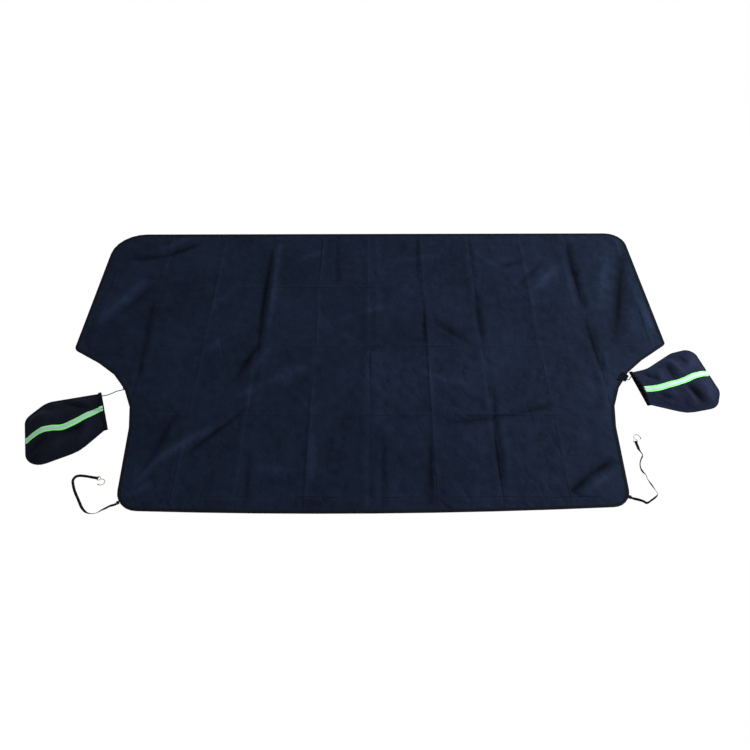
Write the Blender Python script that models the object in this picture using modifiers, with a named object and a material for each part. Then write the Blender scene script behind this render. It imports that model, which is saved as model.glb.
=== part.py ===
"""Windshield frost cover, laid out flat: one cloth sheet with a bound edge, two mirror bags, two hook straps.

Metres, +Z up. X runs along the width, +Y points to the roof edge and -Y to the bonnet edge.
The origin is in the middle of the sheet's underside, at the level of the glass or floor that it lies on.
"""

import math

import bmesh
import bpy
import numpy as np
from mathutils import Matrix, Vector

CLEARANCE = 0.0003
ARC_STEP = math.radians(15.0)
LEFT = "left"
RIGHT = "right"
SIDES = (RIGHT, LEFT)

# Outline of the sheet: each corner's place, as shares of the half width and half height, and its rounding.
# The sheet is cut symmetric, and the small differences between the sides are how it lies.
HALF_WIDTH = 1.0530
HALF_HEIGHT = 0.6370
FOOT = {RIGHT: (0.7407, -0.9576), LEFT: (-0.7198, -0.9796)}
FOOT_RADIUS = {RIGHT: 0.060, LEFT: 0.072}
NOTCH = {RIGHT: (0.7664, -0.2323), LEFT: (-0.7569, -0.2355)}
NOTCH_RADIUS = {RIGHT: 0.370, LEFT: 0.350}
WING = {RIGHT: (1.0, 0.0440), LEFT: (-1.0, 0.0047)}
WING_RADIUS = {RIGHT: 0.016, LEFT: 0.024}
ROOF = {RIGHT: (0.9867, 1.0), LEFT: (-0.9972, 0.9874)}
ROOF_RADIUS = {RIGHT: 0.075, LEFT: 0.120}
BONNET_BOW = 0.014
BOW_STEPS = 8

# Cloth of the sheet and its bound edge.
CLOTH = 0.0020
BINDING_WIDTH = 0.0090
BINDING_WALL = 0.0007
BINDING_HEIGHT = CLOTH + 2 * (BINDING_WALL + CLEARANCE)
BORDER = BINDING_WIDTH + 0.0015
SETTLE = 0.0450

# Folds left by packing: upright folds in turn raised and sunk, and three raised folds across.
FOLD_PITCH = 0.2000
FOLD_COLUMNS = 5
FOLD_ROWS = (-0.282, 0.015, 0.312)
RIDGE_RISE = 0.0045
RIDGE_REACH = 0.0120
VALLEY_RISE = 0.0030
VALLEY_FLAT = 0.0060
VALLEY_CREST = 0.0280
BILLOW_RISE = 0.0022
ROWS_BETWEEN_FOLDS = (-0.52, -0.40, -0.20, -0.09, 0.11, 0.21, 0.42, 0.53)

# Mirror bags: sewn from two panels, with an elastic hem round the mouth.
BAG_CLOTH = 0.0012
BAG_FLANGE = 0.0080
BAG_RISE = 0.0230
BAG_SHOULDER = 0.0750
MOUTH_RISE = 0.0150
MOUTH_REACH = 0.1000
GATHER_PITCH = 0.0180
GATHER_RISE = 0.0022
GATHER_REACH = 0.0420
BAG_CUTS_ALONG = (0.020, 0.045, 0.070, 0.095, 0.120, 0.145, 0.170, 0.195, 0.225)
BAG_CUTS_ACROSS = (0.035, 0.060, 0.090)
GATHER_CUTS = 6
BAG_TURN = {RIGHT: math.radians(11.0), LEFT: math.radians(202.0)}
BAG_OUTLINE = {
    RIGHT: (
        (0.000, -0.070, 0.0),
        (0.105, -0.126, 0.100),
        (0.215, -0.124, 0.050),
        (0.256, -0.065, 0.050),
        (0.256, 0.132, 0.035),
        (0.170, 0.124, 0.060),
        (0.055, 0.074, 0.100),
        (0.000, 0.070, 0.0),
    ),
    LEFT: (
        (0.000, -0.078, 0.0),
        (0.165, -0.106, 0.060),
        (0.237, -0.062, 0.040),
        (0.247, 0.140, 0.055),
        (0.085, 0.130, 0.100),
        (0.000, 0.078, 0.0),
    ),
}
HEM_WIDTH = 0.0100
HEM_THICKNESS = 0.0020
HEM_FOLD_RADIUS = 0.0022
HEM_STEPS = 24

# Reflective tape across each bag, in the bag's own length and width.
TAPE_WIDTH = 0.0220
TAPE_THICKNESS = 0.0005
SILVER_WIDTH = 0.0100
SILVER_THICKNESS = 0.0003
TAPE_ROUTE = {
    RIGHT: ((0.000, -0.014), (0.050, -0.021), (0.130, -0.014), (0.182, -0.001), (0.237, 0.012), (0.262, 0.018)),
    LEFT: ((0.000, 0.004), (0.030, 0.009), (0.110, 0.034), (0.155, 0.024), (0.188, 0.020), (0.250, 0.030)),
}

# Tethers: thin elastic cords from the notch edge to the bags. Their routes are steps from the notch edge.
TETHER_DIAMETER = 0.0030
TETHER_Y = {RIGHT: -0.125, LEFT: -0.172}
TETHER_ROUTE = {
    RIGHT: ((0.0070, -0.0060), (0.0140, -0.0060)),
    LEFT: ((-0.0120, -0.0050), (-0.0260, -0.0100), (-0.0380, -0.0180), (-0.0520, -0.0250)),
}
BAG_FROM_TETHER = {RIGHT: (0.0460, -0.0430), LEFT: (-0.0535, -0.0930)}
TETHER_ON_HEM = {RIGHT: 0.0520, LEFT: -0.0647}
TAB_LENGTH = {RIGHT: 0.0440, LEFT: 0.0160}
TAB_WIDTH = {RIGHT: 0.0260, LEFT: 0.0120}
TAB_PLEATS = {RIGHT: 4, LEFT: 2}
TAB_PLEAT_RISE = {RIGHT: 0.0040, LEFT: 0.0014}
TAB_OVERHANG = {RIGHT: 0.0090, LEFT: 0.0030}
TAB_CLOTH = 0.0012
TAB_PINCH = 0.35

# Hook straps: flat elastic from the bonnet corners. Their routes are steps from the corner, with a roll angle.
STRAP_WIDTH = 0.0080
STRAP_THICKNESS = 0.0012
STRAP_SPACING = 0.0060
STRAP_STRAIGHT = 0.0060
STRAP_EXIT = {RIGHT: math.radians(-25.0), LEFT: math.radians(216.0)}
STRAP_ROUTE = {
    RIGHT: (
        (0.0240, -0.0105, 40),
        (0.0390, -0.0165, 65),
        (0.0490, -0.0225, 60),
        (0.0640, -0.0140, 60),
        (0.0800, -0.0030, 60),
        (0.0885, 0.0070, 70),
        (0.0840, 0.0250, 45),
        (0.0785, 0.0410, 30),
        (0.0715, 0.0590, 55),
        (0.0705, 0.0720, 50),
        (0.0640, 0.0850, 20),
        (0.0605, 0.0985, 40),
        (0.0630, 0.1150, 55),
        (0.0705, 0.1300, 60),
        (0.0770, 0.1400, 55),
        (0.0770, 0.1500, 40),
        (0.0730, 0.1620, 20),
        (0.0722, 0.1680, 0),
    ),
    LEFT: (
        (-0.0240, -0.0130, 10),
        (-0.0350, -0.0205, 15),
        (-0.0460, -0.0275, 30),
        (-0.0560, -0.0360, 50),
        (-0.0700, -0.0390, 55),
        (-0.0840, -0.0370, 45),
        (-0.0965, -0.0290, 30),
        (-0.1090, -0.0155, 15),
        (-0.1180, -0.0020, 0),
        (-0.1280, 0.0130, 0),
        (-0.1385, 0.0285, 0),
        (-0.1470, 0.0430, 8),
        (-0.1545, 0.0590, 20),
        (-0.1580, 0.0720, 45),
        (-0.1540, 0.0835, 50),
        (-0.1440, 0.0880, 35),
        (-0.1310, 0.0880, 20),
        (-0.1180, 0.0865, 10),
        (-0.1100, 0.0850, 0),
    ),
}
STRAP_HEADING = {RIGHT: math.radians(96.0), LEFT: math.radians(-11.0)}
ANCHOR_LENGTH = 0.0080
ANCHOR_WIDTH = 0.0110
ANCHOR_HEIGHT = 0.0030

# Wire hooks, each with an eye whose bar passes through the strap's sewn end.
WIRE_DIAMETER = 0.0022
LOOP_LENGTH = 0.0250
EYE_LENGTH = 0.0110
EYE_SIDE = 0.0042
EYE_BEND = 0.0020
EYE_HALF = STRAP_WIDTH / 2 + EYE_BEND + CLEARANCE
SHANK_LENGTH = 0.0060
HOOK_RADIUS = 0.0100
TIP_LENGTH = 0.0040
TIP_DIAMETER = 0.0040

PARTS = bpy.data.collections.new("windshield_frost_cover")
CUTTERS = bpy.data.collections.new("guides")


def clear_scene():
    for thing in list(bpy.data.objects):
        bpy.data.objects.remove(thing, do_unlink=True)
    for collection in (PARTS, CUTTERS):
        bpy.context.scene.collection.children.link(collection)


def material(name, colour, roughness, metallic=0.0):
    made = bpy.data.materials.new(name)
    made.use_nodes = True
    shader = made.node_tree.nodes["Principled BSDF"]
    shader.inputs["Base Color"].default_value = (*colour, 1.0)
    shader.inputs["Roughness"].default_value = roughness
    shader.inputs["Metallic"].default_value = metallic
    made.diffuse_color = (*colour, 1.0)
    return made


def add_object(name, data, finish, collection=PARTS):
    thing = bpy.data.objects.new(name, data)
    data.materials.append(finish)
    collection.objects.link(thing)
    return thing


def add_mesh(name, bm, finish, smooth=False):
    mesh = bpy.data.meshes.new(name)
    bm.to_mesh(mesh)
    bm.free()
    if smooth:
        mesh.shade_smooth()
    return add_object(name, mesh, finish)


def thicken(thing, thickness):
    """Gives an open sheet its thickness, away from its underside."""
    wall = thing.modifiers.new("Thickness", "SOLIDIFY")
    wall.thickness = thickness
    wall.offset = 1.0


def unit(vector):
    return vector / np.linalg.norm(vector)


def fillet(before, here, after, radius):
    """Points of the arc that rounds one corner, from the side of before to the side of after."""
    if radius == 0.0:
        return [here]
    back = unit(before - here)
    ahead = unit(after - here)
    half = math.acos(np.clip(back @ ahead, -1.0, 1.0)) / 2
    centre = here + unit(back + ahead) * radius / math.sin(half)
    start = here + back * radius / math.tan(half) - centre
    end = here + ahead * radius / math.tan(half) - centre
    sweep = math.atan2(start[0] * end[1] - start[1] * end[0], start @ end)
    steps = max(2, math.ceil(abs(sweep) / ARC_STEP))
    first = math.atan2(start[1], start[0])
    angles = [first + sweep * step / steps for step in range(steps + 1)]
    return [centre + radius * np.array([math.cos(angle), math.sin(angle)]) for angle in angles]


def closed_outline(corners, bows=None):
    """Anticlockwise points round a closed outline of (x, y, radius) corners, with bows on chosen edges."""
    places = [np.array(corner[:2]) for corner in corners]
    arcs = []
    for index, corner in enumerate(corners):
        after = places[(index + 1) % len(corners)]
        arcs.append(fillet(places[index - 1], places[index], after, corner[2]))
    points = []
    for index, arc in enumerate(arcs):
        points += arc
        bow = (bows or {}).get(index, 0.0)
        if bow == 0.0:
            continue
        start, end = arc[-1], arcs[(index + 1) % len(arcs)][0]
        along = unit(end - start)
        outward = np.array([along[1], -along[0]])
        for step in range(1, BOW_STEPS):
            part = step / BOW_STEPS
            points.append(start + (end - start) * part + outward * bow * 4 * part * (1 - part))
    return np.array(points)


def open_path(corners):
    """Points along an open path whose inner (x, y, radius) corners are rounded."""
    places = [np.array(corner[:2]) for corner in corners]
    points = [places[0]]
    for index in range(1, len(corners) - 1):
        points += fillet(places[index - 1], places[index], places[index + 1], corners[index][2])
    return np.array([*points, places[-1]])


def inset(outline, distance):
    """The outline moved inwards, along the normal at each point."""
    along = np.roll(outline, -1, axis=0) - np.roll(outline, 1, axis=0)
    along /= np.linalg.norm(along, axis=1)[:, None]
    inward = np.stack([-along[:, 1], along[:, 0]], axis=1)
    return outline + inward * distance


def line_distance(points, line, closed):
    """How far each point lies from a line of points."""
    ends = np.roll(line, -1, axis=0) if closed else line[1:]
    starts = line if closed else line[:-1]
    span = ends - starts
    from_start = points[:, None, :] - starts[None]
    share = np.clip((from_start * span).sum(2) / (span * span).sum(1), 0.0, 1.0)
    return np.linalg.norm(from_start - share[..., None] * span, axis=2).min(axis=1)


def smooth_step(value):
    value = np.clip(value, 0.0, 1.0)
    return value * value * (3 - 2 * value)


def smooth_route(route, spacing):
    """Evenly spaced points on the smooth curve through a route's own points, of any number of columns."""
    route = np.array(route, dtype=float)
    padded = np.vstack([2 * route[0] - route[1], route, 2 * route[-1] - route[-2]])
    dense = []
    for before, start, end, after in zip(padded, padded[1:], padded[2:], padded[3:]):
        for part in np.linspace(0.0, 1.0, 12, endpoint=False):
            pull = 2 * start + (end - before) * part
            pull += (2 * before - 5 * start + 4 * end - after) * part**2
            pull += (3 * start - before - 3 * end + after) * part**3
            dense.append(pull / 2)
    dense = np.array([*dense, route[-1]])
    steps = np.linalg.norm(np.diff(dense[:, :2], axis=0), axis=1)
    travelled = np.concatenate([[0.0], np.cumsum(steps)])
    count = max(2, round(travelled[-1] / spacing))
    wanted = np.linspace(0.0, travelled[-1], count + 1)
    return np.stack([np.interp(wanted, travelled, column) for column in dense.T], axis=1)


def flat_face(outline):
    """A new bmesh that holds one face inside an outline."""
    bm = bmesh.new()
    bm.faces.new([bm.verts.new((x, y, 0.0)) for x, y in outline])
    bm.normal_update()
    return bm


def cut_across(bm, axis, places, faces=None):
    """Cuts a flat sheet along lines of constant x (axis 0) or y (axis 1)."""
    normal = Vector((1.0, 0.0, 0.0) if axis == 0 else (0.0, 1.0, 0.0))
    for place in places:
        chosen = bm.faces[:] if faces is None else [face for face in bm.faces if faces(face)]
        edges = {edge for face in chosen for edge in face.edges}
        verts = {vert for face in chosen for vert in face.verts}
        whole = [*verts, *edges, *chosen]
        bmesh.ops.bisect_plane(bm, geom=whole, dist=0.0002, plane_co=normal * place, plane_no=normal)


def plan_of(bm):
    return np.array([vert.co[:2] for vert in bm.verts])


def set_heights(bm, heights):
    for vert, height in zip(bm.verts, heights):
        vert.co.z = height


def new_curve(name, points, cyclic=False):
    """A 3D curve of straight steps through points, with its upper side kept up."""
    curve = bpy.data.curves.new(name, "CURVE")
    curve.dimensions = "3D"
    curve.twist_mode = "Z_UP"
    spline = curve.splines.new("POLY")
    spline.points.add(len(points) - 1)
    spline.use_cyclic_u = cyclic
    for point, place in zip(spline.points, points):
        point.co = (*place, 1.0)
    return curve


def profile_curve(name, points):
    """A closed section for sweeping, kept out of the parts. Its x lies to the left of the path, its y up."""
    curve = bpy.data.curves.new(name, "CURVE")
    curve.dimensions = "2D"
    spline = curve.splines.new("POLY")
    spline.points.add(len(points) - 1)
    spline.use_cyclic_u = True
    for point, place in zip(spline.points, points):
        point.co = (-place[0], place[1], 0.0, 1.0)
    thing = bpy.data.objects.new(name, curve)
    thing.hide_render = True
    thing.display_type = "WIRE"
    CUTTERS.objects.link(thing)
    return thing


def sweep(name, points, profile, finish, cyclic=False, tilts=None):
    """A section swept along points, rolled by the tilt at each one."""
    curve = new_curve(name, points, cyclic)
    curve.bevel_mode = "OBJECT"
    curve.bevel_object = profile
    curve.use_fill_caps = not cyclic
    if tilts is not None:
        for point, tilt in zip(curve.splines[0].points, tilts):
            point.tilt = tilt
    return add_object(name, curve, finish)


def round_wire(name, points, diameter, finish):
    curve = new_curve(name, points)
    curve.bevel_depth = diameter / 2
    curve.bevel_resolution = 2
    curve.use_fill_caps = True
    return add_object(name, curve, finish)


def corner_place(shares):
    return np.array([shares[0] * HALF_WIDTH, shares[1] * HALF_HEIGHT])


def sheet_outline():
    """Outer edge of the finished cover."""
    corners = []
    for places, radii in ((FOOT, FOOT_RADIUS), (NOTCH, NOTCH_RADIUS), (WING, WING_RADIUS), (ROOF, ROOF_RADIUS)):
        corners.append((*corner_place(places[RIGHT]), radii[RIGHT]))
    for places, radii in ((ROOF, ROOF_RADIUS), (WING, WING_RADIUS), (NOTCH, NOTCH_RADIUS), (FOOT, FOOT_RADIUS)):
        corners.append((*corner_place(places[LEFT]), radii[LEFT]))
    return closed_outline(corners, bows={len(corners) - 1: BONNET_BOW})


def ridge(distance):
    return np.clip(1 - np.abs(distance) / RIDGE_REACH, 0.0, 1.0)


def valley(distance):
    """A sunk fold: flat at its line, highest at its crests and level again half way to the next fold."""
    reach = np.abs(distance)
    inner = (reach - VALLEY_FLAT) / (VALLEY_CREST - VALLEY_FLAT)
    outer = (FOLD_PITCH / 2 - reach) / (FOLD_PITCH / 2 - VALLEY_CREST)
    return np.clip(np.minimum(inner, outer), 0.0, 1.0)


def fold_columns():
    return [(index * FOLD_PITCH, index % 2 == 0) for index in range(-FOLD_COLUMNS, FOLD_COLUMNS + 1)]


def sheet_heights(plan, outline):
    """Height of the sheet's underside over its plan: folds inside, and level with the binding at its border."""
    rise = np.zeros(len(plan))
    for place, sunk in fold_columns():
        shape = valley(plan[:, 0] - place) * VALLEY_RISE if sunk else ridge(plan[:, 0] - place) * RIDGE_RISE
        rise = np.maximum(rise, shape)
    for place in FOLD_ROWS:
        rise = np.maximum(rise, ridge(plan[:, 1] - place) * RIDGE_RISE)
    swell = np.sin(math.pi * plan[:, 0] / FOLD_PITCH) ** 2 * np.sin(math.pi * plan[:, 1] / FOLD_PITCH) ** 2
    rise = np.maximum(rise, BILLOW_RISE * swell)
    inside = smooth_step((line_distance(plan, outline, True) - BORDER) / SETTLE)
    return rise * inside + (BINDING_WALL + CLEARANCE) * (1 - inside)


def make_sheet(outline, finish):
    """The cover's single sheet of cloth, creased where it was folded for packing."""
    edge = inset(outline, BINDING_WALL + CLEARANCE)
    bm = flat_face(edge)
    bmesh.ops.inset_individual(bm, faces=bm.faces[:], thickness=BORDER, use_even_offset=True)
    columns = []
    for place, sunk in fold_columns():
        offsets = (-VALLEY_CREST, -VALLEY_FLAT, VALLEY_FLAT, VALLEY_CREST) if sunk else (-RIDGE_REACH, 0.0, RIDGE_REACH)
        columns += [place + offset for offset in offsets]
        columns.append(place + FOLD_PITCH / 2)
    cut_across(bm, 0, columns)
    rows = [place + offset for place in FOLD_ROWS for offset in (-RIDGE_REACH, 0.0, RIDGE_REACH)]
    cut_across(bm, 1, [*rows, *ROWS_BETWEEN_FOLDS])
    set_heights(bm, sheet_heights(plan_of(bm), outline))
    thicken(add_mesh("main_panel", bm, finish), CLOTH)


def make_binding(outline, finish):
    """Tape folded round the edge of the sheet, open inwards, with the sheet in its slot."""
    wall, width, height = BINDING_WALL, BINDING_WIDTH, BINDING_HEIGHT
    section = (
        (0.0, 0.0),
        (width, 0.0),
        (width, wall),
        (wall, wall),
        (wall, height - wall),
        (width, height - wall),
        (width, height),
        (0.0, height),
    )
    profile = profile_curve("binding_section", section)
    sweep("edge_binding", [(x, y, 0.0) for x, y in outline], profile, finish, cyclic=True)


class Bag:
    """Places and shapes of one mirror bag, with u from the mouth to the far end and v across it."""

    def __init__(self, side, tether_start):
        self.side = side
        self.turn = BAG_TURN[side]
        self.origin = tether_start + np.array(BAG_FROM_TETHER[side])
        self.outline = closed_outline(BAG_OUTLINE[side])
        self.route = np.array(TAPE_ROUTE[side])

    def place(self, u, v):
        cos, sin = math.cos(self.turn), math.sin(self.turn)
        return self.origin[0] + u * cos - v * sin, self.origin[1] + u * sin + v * cos

    def matrix(self):
        return Matrix.Translation((*self.origin, 0.0)) @ Matrix.Rotation(self.turn, 4, "Z")

    def tape_centre(self, u):
        smooth = smooth_route(self.route, 0.004)
        return np.interp(u, smooth[:, 0], smooth[:, 1])

    def top_heights(self, plan):
        """Underside of the upper panel: a flat flange at the seam, a rounded top, and gathers at the mouth."""
        from_seam = line_distance(plan, self.outline, False) - BAG_FLANGE
        shoulder = np.clip(from_seam / BAG_SHOULDER, 0.0, 1.0)
        dome = 1 - (1 - shoulder) ** 2
        towards_mouth = 1 - smooth_step(plan[:, 0] / MOUTH_REACH)
        rise = BAG_RISE + (MOUTH_RISE - BAG_RISE) * towards_mouth
        gather = np.clip(1 - plan[:, 0] / GATHER_REACH, 0.0, 1.0)
        ripple = np.cos(2 * math.pi * plan[:, 1] / GATHER_PITCH) * GATHER_RISE * gather * np.clip(4 * shoulder, 0.0, 1.0)
        return BAG_CLOTH + CLEARANCE + dome * rise + ripple


def warp(bm, bag, sign):
    """Bends the plan so that the tape's curved centre line becomes v = 0, or back again."""
    for vert in bm.verts:
        vert.co.y += sign * float(bag.tape_centre(vert.co.x))


def top_surface(bag):
    """The upper panel's underside as an open sheet, cut along the edges of the tape and the silver strip."""
    bm = flat_face(bag.outline)
    warp(bm, bag, -1)
    lines = [side * width / 2 for side in (-1, 1) for width in (TAPE_WIDTH, SILVER_WIDTH)]
    cut_across(bm, 1, [*lines, *[side * cut for side in (-1, 1) for cut in BAG_CUTS_ACROSS]])
    cut_across(bm, 0, BAG_CUTS_ALONG)
    warp(bm, bag, 1)
    lines = [index * GATHER_PITCH / 2 for index in range(-GATHER_CUTS, GATHER_CUTS + 1)]
    cut_across(bm, 1, lines, faces=lambda face: face.calc_center_median().x < BAG_CUTS_ALONG[1])
    set_heights(bm, bag.top_heights(plan_of(bm)))
    bm.normal_update()
    return bm


def tape_layer(surface, bag, width, lift):
    """A copy of the surface under one tape, raised along the normals."""
    lifted = [vert.co + vert.normal * lift for vert in surface.verts]
    layer = surface.copy()
    for vert, place in zip(layer.verts, lifted):
        vert.co = place
    outside = []
    for face, original in zip(layer.faces, surface.faces):
        centre = original.calc_center_median()
        if abs(centre.y - float(bag.tape_centre(centre.x))) > width / 2:
            outside.append(face)
    bmesh.ops.delete(layer, geom=outside, context="FACES")
    return layer


def make_bag(side, bag, finishes):
    surface = top_surface(bag)
    lift = BAG_CLOTH + CLEARANCE
    layers = (("lime_tape", TAPE_WIDTH, TAPE_THICKNESS), ("silver_strip", SILVER_WIDTH, SILVER_THICKNESS))
    for name, width, thickness in layers:
        layer = tape_layer(surface, bag, width, lift)
        tape = add_mesh(f"{name}_{side}", layer, finishes[name])
        thicken(tape, thickness)
        tape.matrix_world = bag.matrix()
        lift += thickness + CLEARANCE
    top = add_mesh(f"mirror_bag_top_{side}", surface, finishes["bag"])
    thicken(top, BAG_CLOTH)
    top.matrix_world = bag.matrix()
    bottom_sheet = flat_face(bag.outline)
    cut_across(bottom_sheet, 0, BAG_CUTS_ALONG[1::3])
    bottom = add_mesh(f"mirror_bag_bottom_{side}", bottom_sheet, finishes["bag"])
    thicken(bottom, BAG_CLOTH)
    bottom.matrix_world = bag.matrix()
    make_hem(side, bag, finishes["hem"])


def make_hem(side, bag, finish):
    """The elastic hem, a closed band that follows the arched mouth above and lies flat below."""
    half = abs(BAG_OUTLINE[side][0][1])
    low = HEM_THICKNESS / 2
    across = np.linspace(-half, half, HEM_STEPS + 1)[1:-1]
    plan = np.stack([np.zeros(len(across)), across], axis=1)
    arch = np.maximum(bag.top_heights(plan), low + 2 * HEM_FOLD_RADIUS)
    end = np.linspace(-math.pi / 2, math.pi / 2, 5)
    right = [(half + HEM_FOLD_RADIUS * math.cos(a), low + HEM_FOLD_RADIUS * (1 + math.sin(a))) for a in end]
    above = list(zip(across[::-1], arch[::-1]))
    left = [(-v, height) for v, height in right[::-1]]
    below = [(v, low) for v in np.linspace(-half, half, 7)[1:-1]]
    ring = [*right, *above, *left, *below]
    bm = bmesh.new()
    verts = [bm.verts.new((-CLEARANCE, v, height)) for v, height in ring]
    rim = [bm.edges.new((vert, verts[index - 1])) for index, vert in enumerate(verts)]
    made = bmesh.ops.extrude_edge_only(bm, edges=rim)["geom"]
    outer = [vert for vert in made if isinstance(vert, bmesh.types.BMVert)]
    bmesh.ops.translate(bm, vec=(-HEM_WIDTH, 0.0, 0.0), verts=outer)
    hem = add_mesh(f"mouth_hem_{side}", bm, finish)
    band = hem.modifiers.new("Thickness", "SOLIDIFY")
    band.thickness = HEM_THICKNESS
    band.offset = 0.0
    hem.matrix_world = bag.matrix()


def edge_point(outline, side, y):
    """Where the sheet's outer edge crosses a height y on one side, below the wing tip, and its outward normal."""
    sign = 1 if side == RIGHT else -1
    for start, end in zip(outline, np.roll(outline, -1, axis=0)):
        if start[0] * sign < 0 or (start[1] - y) * (end[1] - y) > 0 or start[1] == end[1]:
            continue
        along = unit(end - start)
        place = start + (end - start) * (y - start[1]) / (end[1] - start[1])
        return place, np.array([along[1], -along[0]])
    raise ValueError("the outline doesn't reach this height")


def make_tab(side, place, normal, finish):
    """A pleated tab of tape over the bound edge, where the tether is sewn in."""
    length, width = TAB_LENGTH[side], TAB_WIDTH[side]
    pleats = TAB_PLEATS[side]
    bm = bmesh.new()
    bmesh.ops.create_grid(bm, x_segments=3, y_segments=pleats * 4, size=0.5)
    for vert in bm.verts:
        across, along = vert.co.x, vert.co.y
        rise = 0.5 - 0.5 * math.cos(2 * math.pi * pleats * (along + 0.5))
        pinch = 1 - TAB_PINCH * (0.5 + across)
        x = across * width - width / 2 + TAB_OVERHANG[side]
        vert.co = (x, along * length * pinch, BINDING_HEIGHT + CLEARANCE + rise * TAB_PLEAT_RISE[side])
    tab = add_mesh(f"tether_tab_{side}", bm, finish)
    thicken(tab, TAB_CLOTH)
    turn = Matrix.Rotation(math.atan2(normal[1], normal[0]), 4, "Z")
    tab.matrix_world = Matrix.Translation((*place, 0.0)) @ turn


def make_tether(side, place, normal, bag, finish):
    """The elastic cord from the bound edge to the bag's hem, square to both, lying on the floor."""
    leave = [place + normal * reach for reach in (CLEARANCE, TETHER_DIAMETER)]
    reaches = (HEM_WIDTH + 2 * CLEARANCE + TETHER_DIAMETER, HEM_WIDTH + 2 * CLEARANCE)
    arrive = [bag.place(-reach, TETHER_ON_HEM[side]) for reach in reaches]
    route = np.vstack([*leave, place + np.array(TETHER_ROUTE[side]), *arrive])
    level = TETHER_DIAMETER / 2
    points = [(x, y, level) for x, y in smooth_route(route, TETHER_DIAMETER)]
    round_wire(f"tether_{side}", points, TETHER_DIAMETER, finish)


def corner_point(side, angle):
    """A point on the rounded bonnet corner, with its outward direction."""
    corner = corner_place(FOOT[side])
    before = corner_place(NOTCH[side])
    after = corner_place(FOOT[LEFT if side == RIGHT else RIGHT])
    arc = fillet(before, corner, after, FOOT_RADIUS[side])
    back, ahead = unit(before - corner), unit(after - corner)
    half = math.acos(back @ ahead) / 2
    centre = corner + unit(back + ahead) * FOOT_RADIUS[side] / math.sin(half)
    outward = np.array([math.cos(angle), math.sin(angle)])
    reach = max(point @ outward for point in [spot - centre for spot in arc])
    return centre + outward * reach, outward


def make_anchor(side, place, outward, finish):
    """The folded end of the strap, sewn into the binding at the corner."""
    bm = bmesh.new()
    bmesh.ops.create_cube(bm, size=1.0)
    bmesh.ops.scale(bm, vec=(ANCHOR_LENGTH, ANCHOR_WIDTH, ANCHOR_HEIGHT), verts=bm.verts)
    centre = CLEARANCE + ANCHOR_LENGTH / 2
    bmesh.ops.translate(bm, vec=(centre, 0.0, ANCHOR_HEIGHT / 2), verts=bm.verts)
    anchor = add_mesh(f"strap_anchor_{side}", bm, finish)
    rounding = anchor.modifiers.new("Soft edges", "BEVEL")
    rounding.width = 0.0008
    rounding.segments = 2
    turn = Matrix.Rotation(math.atan2(outward[1], outward[0]), 4, "Z")
    anchor.matrix_world = Matrix.Translation((*place, 0.0)) @ turn


def make_strap(side, corner, outward, finish):
    """Flat elastic that lies on the floor and rolls onto its edge at the bends. Returns its far end."""
    start = outward * (ANCHOR_LENGTH + 2 * CLEARANCE)
    straight = start + outward * STRAP_STRAIGHT
    route = smooth_route([(*start, 0), (*straight, 0), *STRAP_ROUTE[side]], STRAP_SPACING)
    rolls = np.radians(route[:, 2])
    levels = STRAP_THICKNESS / 2 * np.abs(np.cos(rolls)) + STRAP_WIDTH / 2 * np.abs(np.sin(rolls))
    points = [(corner[0] + x, corner[1] + y, z) for (x, y, _), z in zip(route, levels)]
    half, thin = STRAP_WIDTH / 2, STRAP_THICKNESS / 2
    section = ((-half, -thin * 0.4), (-half + thin, -thin), (half - thin, -thin), (half, -thin * 0.4))
    section += tuple((-x, -y) for x, y in section)
    profile = profile_curve(f"strap_section_{side}", section)
    sweep(f"strap_{side}", points, profile, finish, tilts=rolls)
    return np.array(points[-1][:2])


def make_strap_loop(side, matrix, finish):
    """The strap's end, folded round the hook's eye and sewn back on itself."""
    hole = WIRE_DIAMETER / 2 + CLEARANCE
    outer = hole + STRAP_THICKNESS
    layers = 2 * STRAP_THICKNESS
    curve = bpy.data.curves.new(f"strap_loop_{side}", "CURVE")
    curve.dimensions = "2D"
    curve.fill_mode = "BOTH"
    curve.extrude = STRAP_WIDTH / 2
    nose = [(outer * math.cos(a), outer + outer * math.sin(a)) for a in np.linspace(-math.pi / 2, math.pi / 2, 9)]
    sewn = [(-2.2 * outer, layers), (-LOOP_LENGTH, layers), (-LOOP_LENGTH, 0.0)]
    bore = [(hole * math.cos(a), outer + hole * math.sin(a)) for a in np.linspace(0, 2 * math.pi, 12, endpoint=False)]
    for points in (nose + sewn, bore):
        spline = curve.splines.new("POLY")
        spline.points.add(len(points) - 1)
        spline.use_cyclic_u = True
        for point, (x, y) in zip(spline.points, points):
            point.co = (x, y, 0.0, 1.0)
    loop = add_object(f"strap_loop_{side}", curve, finish)
    loop.matrix_world = matrix @ Matrix.Rotation(math.pi / 2, 4, "X")


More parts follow.
